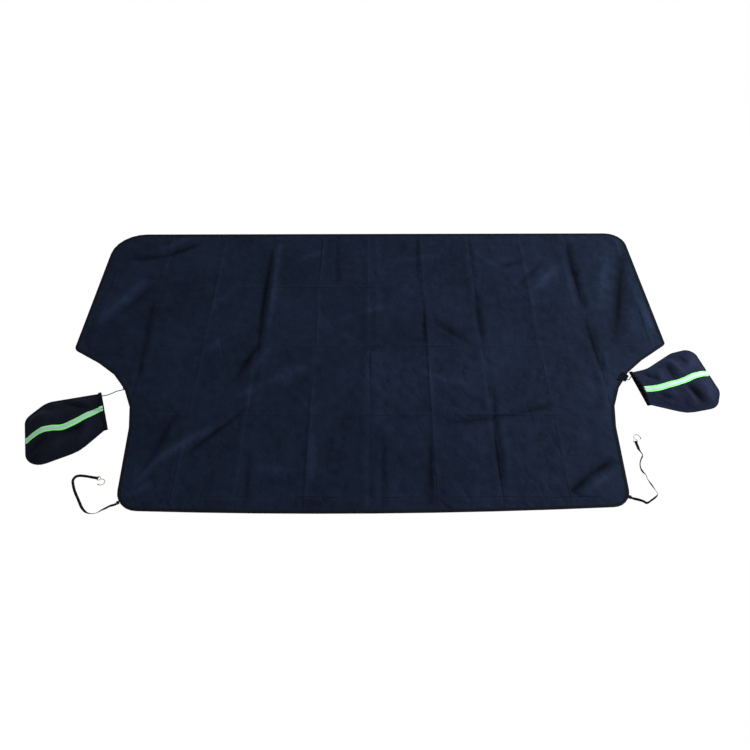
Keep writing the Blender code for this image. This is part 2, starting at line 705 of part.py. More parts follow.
def make_hook(side, matrix, wire_finish, tip_finish):
    """A wire hook bent from one piece: open eye, shank and bend, with a dipped tip."""
    bar_level = WIRE_DIAMETER / 2 + CLEARANCE + STRAP_THICKNESS
    floor_level = WIRE_DIAMETER / 2
    shank_end = EYE_LENGTH + SHANK_LENGTH
    bend = shank_end + HOOK_RADIUS
    side_gap = WIRE_DIAMETER + 2 * CLEARANCE
    corners = (
        (EYE_LENGTH, -side_gap, 0.0),
        (EYE_SIDE, -EYE_HALF, EYE_BEND),
        (0.0, -EYE_HALF, EYE_BEND),
        (0.0, EYE_HALF, EYE_BEND),
        (EYE_SIDE, EYE_HALF, EYE_BEND),
        (EYE_LENGTH, 0.0, EYE_BEND),
        (bend, 0.0, HOOK_RADIUS * 0.999),
        (bend, -2 * HOOK_RADIUS, HOOK_RADIUS * 0.999),
        (shank_end - TIP_LENGTH, -2 * HOOK_RADIUS, 0.0),
    )
    path = open_path(corners)
    slope = np.clip(path[:, 0] / shank_end, 0.0, 1.0)
    levels = bar_level + (floor_level - bar_level) * slope
    levels[-3:] += np.array([0.0, 0.0002, TIP_DIAMETER / 2 - floor_level])
    points = [matrix @ Vector((x, y, z)) for (x, y), z in zip(path, levels)]
    round_wire(f"hook_{side}", points, WIRE_DIAMETER, wire_finish)
    end, before = points[-1], points[-2]
    bm = bmesh.new()
    bmesh.ops.create_uvsphere(bm, u_segments=10, v_segments=6, radius=TIP_DIAMETER / 2)
    tip = add_mesh(f"hook_tip_{side}", bm, tip_finish, smooth=True)
    ahead = Vector((end.x - before.x, end.y - before.y, 0.0)).normalized()
    tip.location = Vector((end.x, end.y, TIP_DIAMETER / 2)) + ahead * (TIP_DIAMETER / 2 + CLEARANCE)


def make_strap_end(side, start, finishes):
    heading = STRAP_HEADING[side]
    forward = Vector((math.cos(heading), math.sin(heading), 0.0))
    bar = Vector((*start, 0.0)) + forward * (LOOP_LENGTH + CLEARANCE)
    matrix = Matrix.Translation(bar) @ Matrix.Rotation(heading, 4, "Z")
    make_strap_loop(side, matrix, finishes["strap"])
    make_hook(side, matrix, finishes["wire"], finishes["tip"])


def main():
    clear_scene()
    finishes = {
        "cloth": material("navy oxford cloth", (0.010, 0.015, 0.030), 0.75),
        "binding": material("black binding tape", (0.004, 0.004, 0.005), 0.85),
        "bag": material("navy bag cloth", (0.013, 0.017, 0.042), 0.7),
        "hem": material("black elastic hem", (0.004, 0.004, 0.006), 0.9),
        "lime_tape": material("lime reflective tape", (0.30, 0.92, 0.22), 0.5),
        "silver_strip": material("silver reflective strip", (0.50, 0.60, 0.64), 0.35),
        "strap": material("black elastic", (0.004, 0.004, 0.004), 0.85),
        "wire": material("hook wire", (0.45, 0.42, 0.38), 0.35, 1.0),
        "tip": material("dipped plastic tip", (0.05, 0.04, 0.04), 0.5),
    }
    outline = sheet_outline()
    make_sheet(outline, finishes["cloth"])
    make_binding(outline, finishes["binding"])
    for side in SIDES:
        place, normal = edge_point(outline, side, TETHER_Y[side])
        bag = Bag(side, place)
        make_tab(side, place, normal, finishes["binding"])
        make_tether(side, place, normal, bag, finishes["strap"])
        make_bag(side, bag, finishes)
        corner, outward = corner_point(side, STRAP_EXIT[side])
        make_anchor(side, corner, outward, finishes["strap"])
        strap_end = make_strap(side, corner, outward, finishes["strap"])
        make_strap_end(side, strap_end, finishes)


main()
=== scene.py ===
# %% [markdown]
# A windshield frost cover is one big flat cloth with a bound edge. It lies on the glass overnight and keeps
# the frost off. Two small bags slip over the door mirrors, and two elastic straps with wire hooks pull the
# lower corners tight.
#
# The measured model of the cover is already packed as a frame. This lesson dresses that frame: it replaces
# the plain solids of cloth with creased cloth, and gives every piece a woven or metal finish.

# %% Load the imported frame
import math

import bmesh
import bpy
import numpy as np
from mathutils import Matrix, Vector


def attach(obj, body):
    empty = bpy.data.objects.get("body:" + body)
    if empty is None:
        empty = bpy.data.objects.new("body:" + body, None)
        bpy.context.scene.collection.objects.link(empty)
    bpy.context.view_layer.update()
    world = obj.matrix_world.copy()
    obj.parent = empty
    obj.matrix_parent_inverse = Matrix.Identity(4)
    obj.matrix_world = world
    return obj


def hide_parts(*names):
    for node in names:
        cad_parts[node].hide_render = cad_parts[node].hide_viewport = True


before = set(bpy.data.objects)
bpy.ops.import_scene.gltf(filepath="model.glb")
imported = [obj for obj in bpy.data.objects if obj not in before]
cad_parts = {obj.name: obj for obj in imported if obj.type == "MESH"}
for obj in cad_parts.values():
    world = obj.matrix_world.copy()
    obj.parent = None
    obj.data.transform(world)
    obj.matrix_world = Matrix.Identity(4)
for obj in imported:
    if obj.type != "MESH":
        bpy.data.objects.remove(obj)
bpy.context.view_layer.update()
SIDES = ("right", "left")
print("nodes in the frame:", len(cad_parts))

# %% [markdown]
# The picture was taken by someone standing at the lower edge, looking down at the floor. The lens is an
# ordinary short one. The camera comes first, so that every later step can be checked through it.

# %% Camera
camera_data = bpy.data.cameras.new("standing view")
camera_data.sensor_width = 36.0
camera_data.lens = 31.2
camera = bpy.data.objects.new("standing view", camera_data)
camera.location = (0.015, -1.497, 1.763)
camera.rotation_euler = (math.radians(38.2), 0.0, 0.0)
bpy.context.scene.collection.objects.link(camera)
bpy.context.scene.camera = camera
print("camera height in metres:", round(camera.location.z, 3))

# %% [markdown]
# A smooth route is needed for every cord. The points that the cord passes are few, and a Catmull-Rom curve
# joins them without a kink. It is then walked in even steps.

# %% Helper: a smooth route through a few points
def smooth_route(route, spacing):
    """Evenly spaced rows on the smooth curve through a few rows of numbers, of which x and y come first."""
    route = np.array(route, dtype=float)
    padded = np.vstack([2 * route[0] - route[1], route, 2 * route[-1] - route[-2]])
    dense = []
    for before, start, end, after in zip(padded, padded[1:], padded[2:], padded[3:]):
        for part in np.linspace(0.0, 1.0, 12, endpoint=False):
            pull = 2 * start + (end - before) * part
            pull += (2 * before - 5 * start + 4 * end - after) * part**2
            pull += (3 * start - before - 3 * end + after) * part**3
            dense.append(pull / 2)
    dense = np.array([*dense, route[-1]])
    steps = np.linalg.norm(np.diff(dense[:, :2], axis=0), axis=1)
    travelled = np.concatenate([[0.0], np.cumsum(steps)])
    count = max(2, round(travelled[-1] / spacing))
    wanted = np.linspace(0.0, travelled[-1], count + 1)
    return np.stack([np.interp(wanted, travelled, column) for column in dense.T], axis=1)


def length_of(points):
    return float(np.linalg.norm(np.diff(np.array(points), axis=0), axis=1).sum())


# %% [markdown]
# Every new object goes through one helper. It makes the mesh from a bmesh, links it and lets it ride on the
# cover's one body. A vertex attribute called weave holds the distance along and across the cloth, so that
# ribs and threads can follow a bent strap.

# %% Helper: new pieces
def add_piece(name, bm, smooth=True):
    mesh = bpy.data.meshes.new(name)
    bm.to_mesh(mesh)
    bm.free()
    if smooth:
        mesh.shade_smooth()
    piece = bpy.data.objects.new(name, mesh)
    bpy.context.scene.collection.objects.link(piece)
    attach(piece, "root")
    return piece


def thicken(piece, thickness, offset=1.0):
    wall = piece.modifiers.new("thickness", "SOLIDIFY")
    wall.thickness = thickness
    wall.offset = offset
    return piece


def sweep(name, points, section, rolls=None):
    """A section of (across, up) points carried along a path. Each new ring is extruded from the last one."""
    points = np.array(points)
    rolls = np.zeros(len(points)) if rolls is None else rolls
    ways = np.gradient(points, axis=0)
    travelled = np.concatenate([[0.0], np.cumsum(np.linalg.norm(np.diff(points, axis=0), axis=1))])
    bm = bmesh.new()
    weave = bm.verts.layers.float_vector.new("weave")
    ring = [bm.verts.new() for _ in section]
    rim = [bm.edges.new((vert, ring[index - 1])) for index, vert in enumerate(ring)]
    first = list(rim)
    for step, (place, way, roll) in enumerate(zip(points, ways, rolls)):
        if step:
            made = bmesh.ops.extrude_edge_only(bm, edges=rim)["geom"]
            rim = [item for item in made if isinstance(item, bmesh.types.BMEdge)]
            rim = [edge for edge in rim if not set(edge.verts) & set(ring)]
            follow = {}
            for vert in ring:
                for edge in vert.link_edges:
                    other = edge.other_vert(vert)
                    if any(other in new.verts for new in rim):
                        follow[vert] = other
            ring = [follow[vert] for vert in ring]
        forward = Vector(way).normalized()
        sideways = Vector((0.0, 0.0, 1.0)).cross(forward).normalized()
        up = forward.cross(sideways)
        sideways, up = (
            sideways * math.cos(roll) + up * math.sin(roll),
            up * math.cos(roll) - sideways * math.sin(roll),
        )
        for vert, (across, rise) in zip(ring, section):
            vert.co = Vector(place) + sideways * across + up * rise
            vert[weave] = (travelled[step], across, 0.0)
    bmesh.ops.contextual_create(bm, geom=first)
    bmesh.ops.contextual_create(bm, geom=rim)
    bmesh.ops.recalc_face_normals(bm, faces=bm.faces[:])
    return add_piece(name, bm)


# %% [markdown]
# The tethers are thin round elastic cords. Each one runs from the notch in the cover's side to the mouth of a
# mirror bag, so its far end goes back into the object. Both ends are in view, and the length is the length
# that is seen. The cord lies on the floor at half its thickness.

# %% Tethers
TETHER_DIAMETER = 0.003
TETHER_START = {"right": (0.8720, -0.1250), "left": (-0.8348, -0.1720)}
TETHER_ROUTE = {
    "right": ((0.0002, -0.0002), (0.0025, -0.0018), (0.0070, -0.0060), (0.0140, -0.0060), (0.0228, 0.0054)),
    "left": (
        (-0.0003, -0.0002),
        (-0.0024, -0.0019),
        (-0.0120, -0.0050),
        (-0.0260, -0.0100),
        (-0.0380, -0.0180),
        (-0.0520, -0.0250),
        (-0.0651, -0.0279),
    ),
}
TETHER_END = {"right": (0.8977, -0.1190), "left": (-0.9027, -0.2010)}


def round_section(diameter, sides):
    turns = np.linspace(0.0, 2 * math.pi, sides, endpoint=False)
    return [(diameter / 2 * math.cos(turn), diameter / 2 * math.sin(turn)) for turn in turns]


tethers = {}
for side in SIDES:
    start = np.array(TETHER_START[side])
    flat_route = [start + np.array(step) for step in TETHER_ROUTE[side]] + [np.array(TETHER_END[side])]
    path = [(x, y, TETHER_DIAMETER / 2) for x, y in smooth_route(flat_route, 0.0015)]
    tether = sweep(f"tether_cord_{side}", path, round_section(TETHER_DIAMETER, 12))
    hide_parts(f"tether_{side}")
    tethers[side] = tether
    print(f"{side} tether: {length_of(path) * 1000:.0f} mm")

# %% [markdown]
# The straps are flat elastic, 8 mm wide. A flat band can't bend sideways, so it rolls onto its edge at every
# turn, and that is why it looks thin there. The route gives the place and the roll at each point. The band's
# section has rounded edges and shallow ribs, which run along the real elastic.

# %% Hook straps
STRAP_WIDTH = 0.0080
STRAP_THICKNESS = 0.0012
RIB_COUNT = 5
STRAP_CORNER = {"right": (0.7773, -0.5757), "left": (-0.7499, -0.5937)}
STRAP_OUTWARD = {"right": math.radians(-25.0), "left": math.radians(216.0)}
STRAP_LEAVES = (0.0086, 0.0146)
STRAP_ROUTE = {
    "right": (
        (0.0240, -0.0105, 40),
        (0.0390, -0.0165, 65),
        (0.0490, -0.0225, 60),
        (0.0640, -0.0140, 60),
        (0.0800, -0.0030, 60),
        (0.0885, 0.0070, 70),
        (0.0840, 0.0250, 45),
        (0.0785, 0.0410, 30),
        (0.0715, 0.0590, 55),
        (0.0705, 0.0720, 50),
        (0.0640, 0.0850, 20),
        (0.0605, 0.0985, 40),
        (0.0630, 0.1150, 55),
        (0.0705, 0.1300, 60),
        (0.0770, 0.1400, 55),
        (0.0770, 0.1500, 40),
        (0.0730, 0.1620, 20),
        (0.0722, 0.1680, 0),
    ),
    "left": (
        (-0.0240, -0.0130, 10),
        (-0.0350, -0.0205, 15),
        (-0.0460, -0.0275, 30),
        (-0.0560, -0.0360, 50),
        (-0.0700, -0.0390, 55),
        (-0.0840, -0.0370, 45),
        (-0.0965, -0.0290, 30),
        (-0.1090, -0.0155, 15),
        (-0.1180, -0.0020, 0),
        (-0.1280, 0.0130, 0),
        (-0.1385, 0.0285, 0),
        (-0.1470, 0.0430, 8),
        (-0.1545, 0.0590, 20),
        (-0.1580, 0.0720, 45),
        (-0.1540, 0.0835, 50),
        (-0.1440, 0.0880, 35),
        (-0.1310, 0.0880, 20),
        (-0.1180, 0.0865, 10),
        (-0.1100, 0.0850, 0),
    ),
}


def strap_section():
    """Half the outline of the band from edge to edge with its ribs, then the same turned over."""
    half, thin = STRAP_WIDTH / 2, STRAP_THICKNESS / 2
    rib = 2 * (half - thin) / RIB_COUNT
    lower = [(-half, -thin * 0.35)]
    for index in range(RIB_COUNT):
        left_edge = -half + thin + index * rib
        lower += [(left_edge, -thin * 0.8), (left_edge + rib / 2, -thin)]
    lower += [(half - thin, -thin * 0.8), (half, -thin * 0.35)]
    return lower + [(-x, -y) for x, y in lower]


straps = {}
for side in SIDES:
    corner = np.array(STRAP_CORNER[side])
    outward = np.array([math.cos(STRAP_OUTWARD[side]), math.sin(STRAP_OUTWARD[side])])
    leaving = [(*(outward * reach), 0) for reach in STRAP_LEAVES]
    rows = smooth_route([*leaving, *STRAP_ROUTE[side]], 0.003)
    rolls = np.radians(rows[:, 2])
    levels = STRAP_THICKNESS / 2 * np.abs(np.cos(rolls)) + STRAP_WIDTH / 2 * np.abs(np.sin(rolls))
    path = [(corner[0] + x, corner[1] + y, z) for (x, y, _), z in zip(rows, levels)]
    strap = sweep(f"strap_elastic_{side}", path, strap_section(), rolls)
    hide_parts(f"strap_{side}")
    straps[side] = (strap, path)
    print(f"{side} strap: {length_of(path) * 1000:.0f} mm")

# %% [markdown]
# Each strap ends in a sewn loop, and the loop holds a bent wire hook with a dipped tip. Their solids have the right
# shape already, so they stay.

# %% The straps and their paths
for side in SIDES:
    strap, path = straps[side]

# %% [markdown]
# The sheet is one piece of navy cloth. Its outline has eight corners: two at the lower edge, two in the
# notches for the mirrors, two wing tips and two at the roof. Each corner is rounded by an arc.

# %% Outline of the cloth
SHEET_CORNERS = (
    (0.780, -0.610, 0.060),
    (0.807, -0.148, 0.370),
    (1.053, 0.028, 0.016),
    (1.039, 0.637, 0.075),
    (-1.050, 0.629, 0.120),
    (-1.053, 0.003, 0.024),
    (-0.797, -0.150, 0.350),
    (-0.758, -0.624, 0.072),
)
BONNET_BOW = 0.014
TUCK = 0.001


def rounded_outline(corners, step=math.radians(7.5)):
    """Anticlockwise points round a closed outline of (x, y, radius) corners."""
    places = [np.array(corner[:2]) for corner in corners]
    points = []
    for index, (here, corner) in enumerate(zip(places, corners)):
        back = places[index - 1] - here
        ahead = places[(index + 1) % len(places)] - here
        back, ahead = back / np.linalg.norm(back), ahead / np.linalg.norm(ahead)
        if corner[2] == 0.0:
            points.append(here)
            continue
        half = math.acos(float(back @ ahead)) / 2
        middle = back + ahead
        centre = here + middle / np.linalg.norm(middle) * corner[2] / math.sin(half)
        start = here + back * corner[2] / math.tan(half) - centre
        end = here + ahead * corner[2] / math.tan(half) - centre
        turn = math.atan2(start[0] * end[1] - start[1] * end[0], float(start @ end))
        first = math.atan2(start[1], start[0])
        count = max(2, math.ceil(abs(turn) / step))
        for angle in np.linspace(first, first + turn, count + 1):
            points.append(centre + corner[2] * np.array([math.cos(angle), math.sin(angle)]))
    return np.array(points)


def moved_in(outline, distance):
    along = np.roll(outline, -1, axis=0) - np.roll(outline, 1, axis=0)
    along /= np.linalg.norm(along, axis=1)[:, None]
    return outline + np.stack([-along[:, 1], along[:, 0]], axis=1) * distance


def with_bow(outline, bow, steps=16):
    """Adds the slight outward bow of the last edge, from the last point back to the first."""
    start, end = outline[-1], outline[0]
    shares = np.linspace(0.0, 1.0, steps + 1)[1:-1, None]
    straight = start + (end - start) * shares
    straight[:, 1] -= bow * 4 * shares[:, 0] * (1 - shares[:, 0])
    return np.vstack([outline, straight])


sheet_edge = with_bow(rounded_outline(SHEET_CORNERS), BONNET_BOW)
print("points round the sheet:", len(sheet_edge))

# %% [markdown]
# A flat face inside an outline becomes cloth when it is cut into many small cells, which can then be raised
# and lowered. The bisect operator cuts the whole face along one line at a time.

# %% Helper: a face cut into cells
def flat_cloth(outline, columns, rows):
    bm = bmesh.new()
    bmesh.ops.contextual_create(bm, geom=[bm.verts.new((x, y, 0.0)) for x, y in outline])
    for axis, places in enumerate((columns, rows)):
        normal = Vector((1.0 - axis, float(axis), 0.0))
        for place in places:
            whole = [*bm.verts, *bm.edges, *bm.faces]
            bmesh.ops.bisect_plane(bm, geom=whole, dist=0.0001, plane_co=normal * place, plane_no=normal)
    bm.normal_update()
    if bm.faces and next(iter(bm.faces)).normal.z < 0:
        bmesh.ops.reverse_faces(bm, faces=bm.faces[:])
    return bm


def plan_of(bm):
    return np.array([vert.co[:2] for vert in bm.verts])


def raise_to(bm, heights, relief_shading):
    """The shading value is above zero on a ridge, which gets a painted highlight, and below zero in a furrow, which
    gets painted shade.
    """
    ridge_and_furrow_paint = bm.verts.layers.float.new("relief_shading")
    for vert, height, shading_amount in zip(bm.verts, heights, relief_shading):
        vert.co.z = float(height)
        vert[ridge_and_furrow_paint] = float(shading_amount)


def line_distance(points, line, closed=True):
    """How far each point lies from a line of points."""
    starts = line if closed else line[:-1]
    spans = (np.roll(line, -1, axis=0) if closed else line[1:]) - starts
    nearest = np.full(len(points), 9.0)
    for start, span in zip(starts, spans):
        if not span.any():
            continue
        share = np.clip((points - start) @ span / (span @ span), 0.0, 1.0)
        nearest = np.minimum(nearest, np.linalg.norm(points - start - share[:, None] * span, axis=1))
    return nearest


def smooth_step(value):
    value = np.clip(value, 0.0, 1.0)
    return value * value * (3 - 2 * value)


# %% [markdown]
# The cloth was folded small for its packet, so it keeps a grid of folds: upright ones in turn raised and sunk,
# and three across. Over them run soft diagonal wrinkles from the way it was spread out. Each wrinkle is a
# line from one place to another with a height and a reach, and a low swell makes every field uneven.

# %% Relief of the cloth
FOLD_PITCH = 0.2
FOLD_COLUMNS = range(-5, 6)
FOLD_ROWS = (-0.282, 0.015, 0.312)
CLOTH_THICKNESS = 0.0018
BORDER = 0.0105
SETTLE = 0.035
LOWEST = 0.0003
# Wrinkle height that gives a shading value of one, for the painted highlight on ridges and the painted shade in
# furrows.
SHADING_HEIGHT = 0.008
SHEET_WRINKLES = (
    # from, to, height, reach
    (-0.20, -0.06, -0.49, -0.23, 0.0075, 0.022),
    (-0.40, -0.24, -0.57, -0.42, -0.0080, 0.011),
    (-0.36, -0.20, -0.54, -0.36, 0.0050, 0.016),
    (-0.53, -0.34, -0.67, -0.45, 0.0080, 0.015),
    (-0.67, -0.45, -0.72, -0.54, 0.0070, 0.013),
    (-0.64, -0.27, -0.68, -0.43, -0.0055, 0.012),
    (-0.68, -0.43, -0.71, -0.52, -0.0050, 0.011),
    (-0.74, -0.58, -0.67, -0.54, 0.0050, 0.012),
    (-0.70, 0.57, -0.83, 0.49, -0.0070, 0.013),
    (-0.83, 0.49, -0.98, 0.48, -0.0060, 0.013),
    (-0.74, 0.60, -0.86, 0.53, 0.0045, 0.014),
    (-0.88, 0.35, -1.00, 0.13, 0.0080, 0.024),
    (-0.84, 0.33, -0.93, 0.18, -0.0050, 0.016),
    (-0.82, 0.24, -0.80, -0.11, -0.0055, 0.010),
    (-0.405, 0.52, -0.405, 0.03, -0.0085, 0.011),
    (-0.375, 0.58, -0.375, 0.10, 0.0060, 0.012),
    (-0.40, 0.03, -0.46, -0.12, -0.0075, 0.012),
    (-0.37, 0.00, -0.43, -0.14, 0.0045, 0.013),
    (-0.38, -0.42, -0.37, -0.62, -0.0050, 0.010),
    (-0.36, -0.49, -0.22, -0.49, 0.0045, 0.011),
    (-0.19, -0.36, -0.18, -0.54, 0.0045, 0.011),
    (-0.14, 0.57, -0.13, 0.33, -0.0045, 0.010),
    (-0.30, 0.46, -0.20, 0.52, 0.0040, 0.018),
    (0.795, 0.56, 0.795, 0.20, -0.0085, 0.012),
    (0.79, 0.16, 0.80, -0.09, -0.0080, 0.011),
    (0.765, 0.54, 0.765, 0.22, 0.0050, 0.012),
    (1.01, 0.50, 0.88, 0.04, -0.0080, 0.020),
    (1.02, 0.25, 1.02, 0.08, 0.0060, 0.014),
    (0.95, 0.52, 0.85, 0.20, 0.0050, 0.018),
    (0.40, 0.27, 0.40, 0.03, -0.0060, 0.010),
    (0.42, -0.15, 0.40, -0.35, -0.0045, 0.009),
    (0.40, -0.35, 0.40, -0.54, -0.0070, 0.010),
    (0.25, -0.31, 0.43, -0.29, -0.0050, 0.010),
    (0.43, -0.29, 0.60, -0.24, -0.0050, 0.010),
    (0.24, 0.13, 0.35, 0.04, -0.0060, 0.011),
    (0.60, -0.57, 0.68, -0.50, -0.0080, 0.012),
    (0.68, -0.50, 0.76, -0.45, -0.0080, 0.013),
    (0.64, -0.57, 0.75, -0.49, 0.0065, 0.012),
    (0.60, 0.28, 0.73, 0.43, 0.0065, 0.018),
    (0.58, 0.34, 0.68, 0.46, -0.0045, 0.014),
    (0.41, 0.51, 0.50, 0.43, 0.0055, 0.013),
    (0.50, 0.43, 0.61, 0.47, -0.0050, 0.012),
    (0.20, 0.26, 0.19, 0.02, -0.0045, 0.009),
    (0.19, -0.38, 0.18, -0.60, -0.0050, 0.009),
    (0.04, -0.36, 0.04, -0.62, -0.0045, 0.009),
    (0.19, 0.62, 0.18, 0.38, -0.0045, 0.009),
    (0.10, 0.46, 0.28, 0.50, 0.0035, 0.014),
    (0.16, -0.10, 0.34, -0.16, 0.0035, 0.014),
    (-0.14, 0.14, 0.08, 0.22, 0.0035, 0.014),
    (-0.60, 0.20, -0.50, 0.34, 0.0040, 0.016),
    (-0.62, -0.05, -0.52, 0.06, 0.0040, 0.015),
)


def fold_relief(x, y):
    """Raised folds stand up as soft ridges, and sunk ones lie between two low shoulders."""
    rise = np.zeros(len(x))
    for index in FOLD_COLUMNS:
        bend = 0.0035 * np.sin(5.0 * y + 1.7 * index) + 0.0015 * np.sin(17.0 * y + index)
        reach = np.abs(x - index * FOLD_PITCH - bend)
        along = 0.75 + 0.25 * np.sin(6.0 * y + 2.1 * index)
        if index % 2:
            rise = np.maximum(rise, 0.0052 * along * np.exp(-reach / 0.008))
        else:
            shoulders = np.exp(-(((reach - 0.017) / 0.012) ** 2))
            rise = np.maximum(rise, 0.0036 * along * shoulders)
    for index, place in enumerate(FOLD_ROWS):
        bend = 0.003 * np.sin(4.0 * x + index) + 0.001 * np.sin(19.0 * x)
        reach = np.abs(y - place - bend)
        along = 0.65 + 0.35 * np.sin(4.3 * x + 1.3 * index)
        rise = np.maximum(rise, 0.0058 * along * np.exp(-reach / 0.008))
    return rise


def wrinkle_relief(points, wrinkles):
    rise = np.zeros(len(points))
    for x0, y0, x1, y1, height, reach in wrinkles:
        start, span = np.array([x0, y0]), np.array([x1 - x0, y1 - y0])
        share = (points - start) @ span / (span @ span)
        clipped = np.clip(share, 0.0, 1.0)
        away = np.linalg.norm(points - start - clipped[:, None] * span, axis=1)
        fade = np.sin(math.pi * np.clip(share * 0.84 + 0.08, 0.0, 1.0)) ** 0.7
        rise += height * fade * np.exp(-((away / reach) ** 1.4))
    return rise


def swell(x, y):
    low = np.sin(9.1 * x + 2.3 * y + 0.4) * np.sin(8.3 * y - 1.9 * x) * 0.0018
    mid = np.sin(31.0 * x - 14.0 * y) * np.sin(27.0 * y + 11.0 * x + 1.0) * 0.0008
    fine = np.sin(83.0 * x + 29.0 * y) * np.sin(71.0 * y - 37.0 * x + 0.7) * 0.00025
    return 0.0030 + low + mid + fine


def sheet_relief(points):
    x, y = points[:, 0], points[:, 1]
    rise = fold_relief(x, y) + swell(x, y) + wrinkle_relief(points, SHEET_WRINKLES)
    rise = np.maximum(rise, LOWEST)
    inside = smooth_step((line_distance(points, sheet_edge) - BORDER) / SETTLE)
    return rise * inside + TUCK * (1 - inside)


# %% Sheet of cloth
CELL = 0.0075
BESIDE_FOLD = (-0.006, 0.0, 0.006)
columns = sorted(
    {round(place, 4) for place in np.arange(-1.05, 1.051, CELL)}
    | {round(index * FOLD_PITCH + beside, 4) for index in FOLD_COLUMNS for beside in BESIDE_FOLD}
)
rows = sorted(
    {round(place, 4) for place in np.arange(-0.6375, 0.638, CELL)}
    | {round(place + beside, 4) for place in FOLD_ROWS for beside in BESIDE_FOLD}
)
bm = flat_cloth(moved_in(sheet_edge, TUCK), columns, rows)
places = plan_of(bm)
# The wrinkles' relief is also stored per vertex, for the painted highlight on ridges and the painted shade in
# furrows.
raise_to(bm, sheet_relief(places), wrinkle_relief(places, SHEET_WRINKLES) / SHADING_HEIGHT)
cloth_sheet = thicken(add_piece("cloth_sheet", bm), CLOTH_THICKNESS)
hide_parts("main_panel")
print("cells in the sheet:", len(cloth_sheet.data.polygons))

# %% [markdown]
# A row of small stitches holds the folded tape on the edge. Each stitch is a tiny rounded bar. The helper takes a
# line of points and the height of the cloth under it.

# %% Helper: a row of stitches
STITCH_PITCH = 0.006
STITCH_SIZE = (0.0038, 0.0007, 0.0005)


def stitch_row(bm, line, height):
    """Adds stitches along a line of flat points, each turned along it, with height a function of the place."""
    travelled = np.concatenate([[0.0], np.cumsum(np.linalg.norm(np.diff(line, axis=0), axis=1))])
    count = int(travelled[-1] / STITCH_PITCH)
    middles = (np.arange(count) + 0.5) * STITCH_PITCH
    batch = bpy.data.meshes.new("stitches")
    for part in np.array_split(middles, math.ceil(count / 40)):
        few = bmesh.new()
        for middle in part:
            ends = [
                np.array([np.interp(middle + reach, travelled, column) for column in line.T])
                for reach in (-STITCH_SIZE[0] / 2, STITCH_SIZE[0] / 2)
            ]
            low, high = (Vector((*end, float(height(end)))) for end in ends)
            turn = (high - low).to_track_quat("X", "Z").to_matrix().to_4x4()
            place = Matrix.Translation((low + high) / 2) @ turn @ Matrix.Diagonal((*STITCH_SIZE, 1.0))
            bmesh.ops.create_uvsphere(few, u_segments=6, v_segments=4, radius=0.5, matrix=place)
        few.to_mesh(batch)
        few.free()
        bm.from_mesh(batch)
    bpy.data.meshes.remove(batch)
    return count


BINDING_TOP = 0.0040
BINDING_WIDTH = 0.009
SEAM_INSET = 0.0065
seam = moved_in(sheet_edge, SEAM_INSET)
bm = bmesh.new()
sewn = stitch_row(bm, np.vstack([seam, seam[:1]]), lambda place: BINDING_TOP)
binding_stitches = add_piece("binding_stitches", bm)
print("stitches in the binding:", sewn)

# %% [markdown]
# Each mirror bag is sewn from two panels. The lower one lies flat, and the upper one stands up as a soft,
# half empty shell. The mouth is drawn in by elastic, so the cloth is gathered there, and the gathers fade
# towards the far end. The outline and the place of each bag repeat the ones of the frame.

# %% Bags: place and outline
BAG_ORIGIN = {"right": (0.9180, -0.1680), "left": (-0.8883, -0.2650)}
BAG_TURN = {"right": math.radians(11.0), "left": math.radians(202.0)}
BAG_CORNERS = {
    "right": (
        (0.000, -0.070, 0.0),
        (0.105, -0.126, 0.100),
        (0.215, -0.124, 0.050),
        (0.256, -0.065, 0.050),
        (0.256, 0.132, 0.035),
        (0.170, 0.124, 0.060),
        (0.055, 0.074, 0.100),
        (0.000, 0.070, 0.0),
    ),
    "left": (
        (0.000, -0.078, 0.0),
        (0.165, -0.106, 0.060),
        (0.237, -0.062, 0.040),
        (0.247, 0.140, 0.055),
        (0.085, 0.130, 0.100),
        (0.000, 0.078, 0.0),
    ),
}
BAG_CLOTH = 0.0012
BAG_FLANGE = 0.008
BAG_GAP = 0.0003
BAG_RISE = 0.023
BAG_SHOULDER = 0.075
MOUTH_RISE = 0.015
MOUTH_REACH = 0.10
BAG_WRINKLES = {
    "right": (
        (0.150, 0.015, 0.240, 0.080, 0.0040, 0.014),
        (0.115, 0.000, 0.125, 0.075, -0.0075, 0.011),
        (0.150, 0.020, 0.140, 0.100, 0.0060, 0.012),
        (0.190, 0.050, 0.180, 0.120, -0.0050, 0.012),
        (0.150, -0.028, 0.175, -0.100, -0.0110, 0.013),
        (0.125, -0.035, 0.145, -0.110, 0.0070, 0.010),
        (0.205, -0.020, 0.205, -0.100, 0.0050, 0.014),
        (0.085, -0.040, 0.060, -0.095, 0.0050, 0.012),
        (0.060, 0.010, 0.030, 0.060, -0.0060, 0.009),
        (0.070, 0.000, 0.085, 0.060, 0.0050, 0.010),
        (0.040, -0.035, 0.085, -0.080, -0.0050, 0.009),
    ),
    "left": (
        (0.120, -0.010, 0.200, -0.060, 0.0065, 0.014),
        (0.090, 0.060, 0.180, 0.110, 0.0060, 0.014),
        (0.060, 0.040, 0.130, 0.070, -0.0075, 0.012),
        (0.040, -0.020, 0.110, -0.075, -0.0080, 0.012),
        (0.030, -0.045, 0.080, -0.085, 0.0050, 0.010),
        (0.170, 0.050, 0.230, 0.090, -0.0060, 0.012),
        (0.020, 0.030, 0.080, 0.100, 0.0050, 0.010),
        (0.150, -0.040, 0.160, -0.095, -0.0050, 0.012),
    ),
}


def bag_matrix(side):
    return Matrix.Translation((*BAG_ORIGIN[side], 0.0)) @ Matrix.Rotation(BAG_TURN[side], 4, "Z")


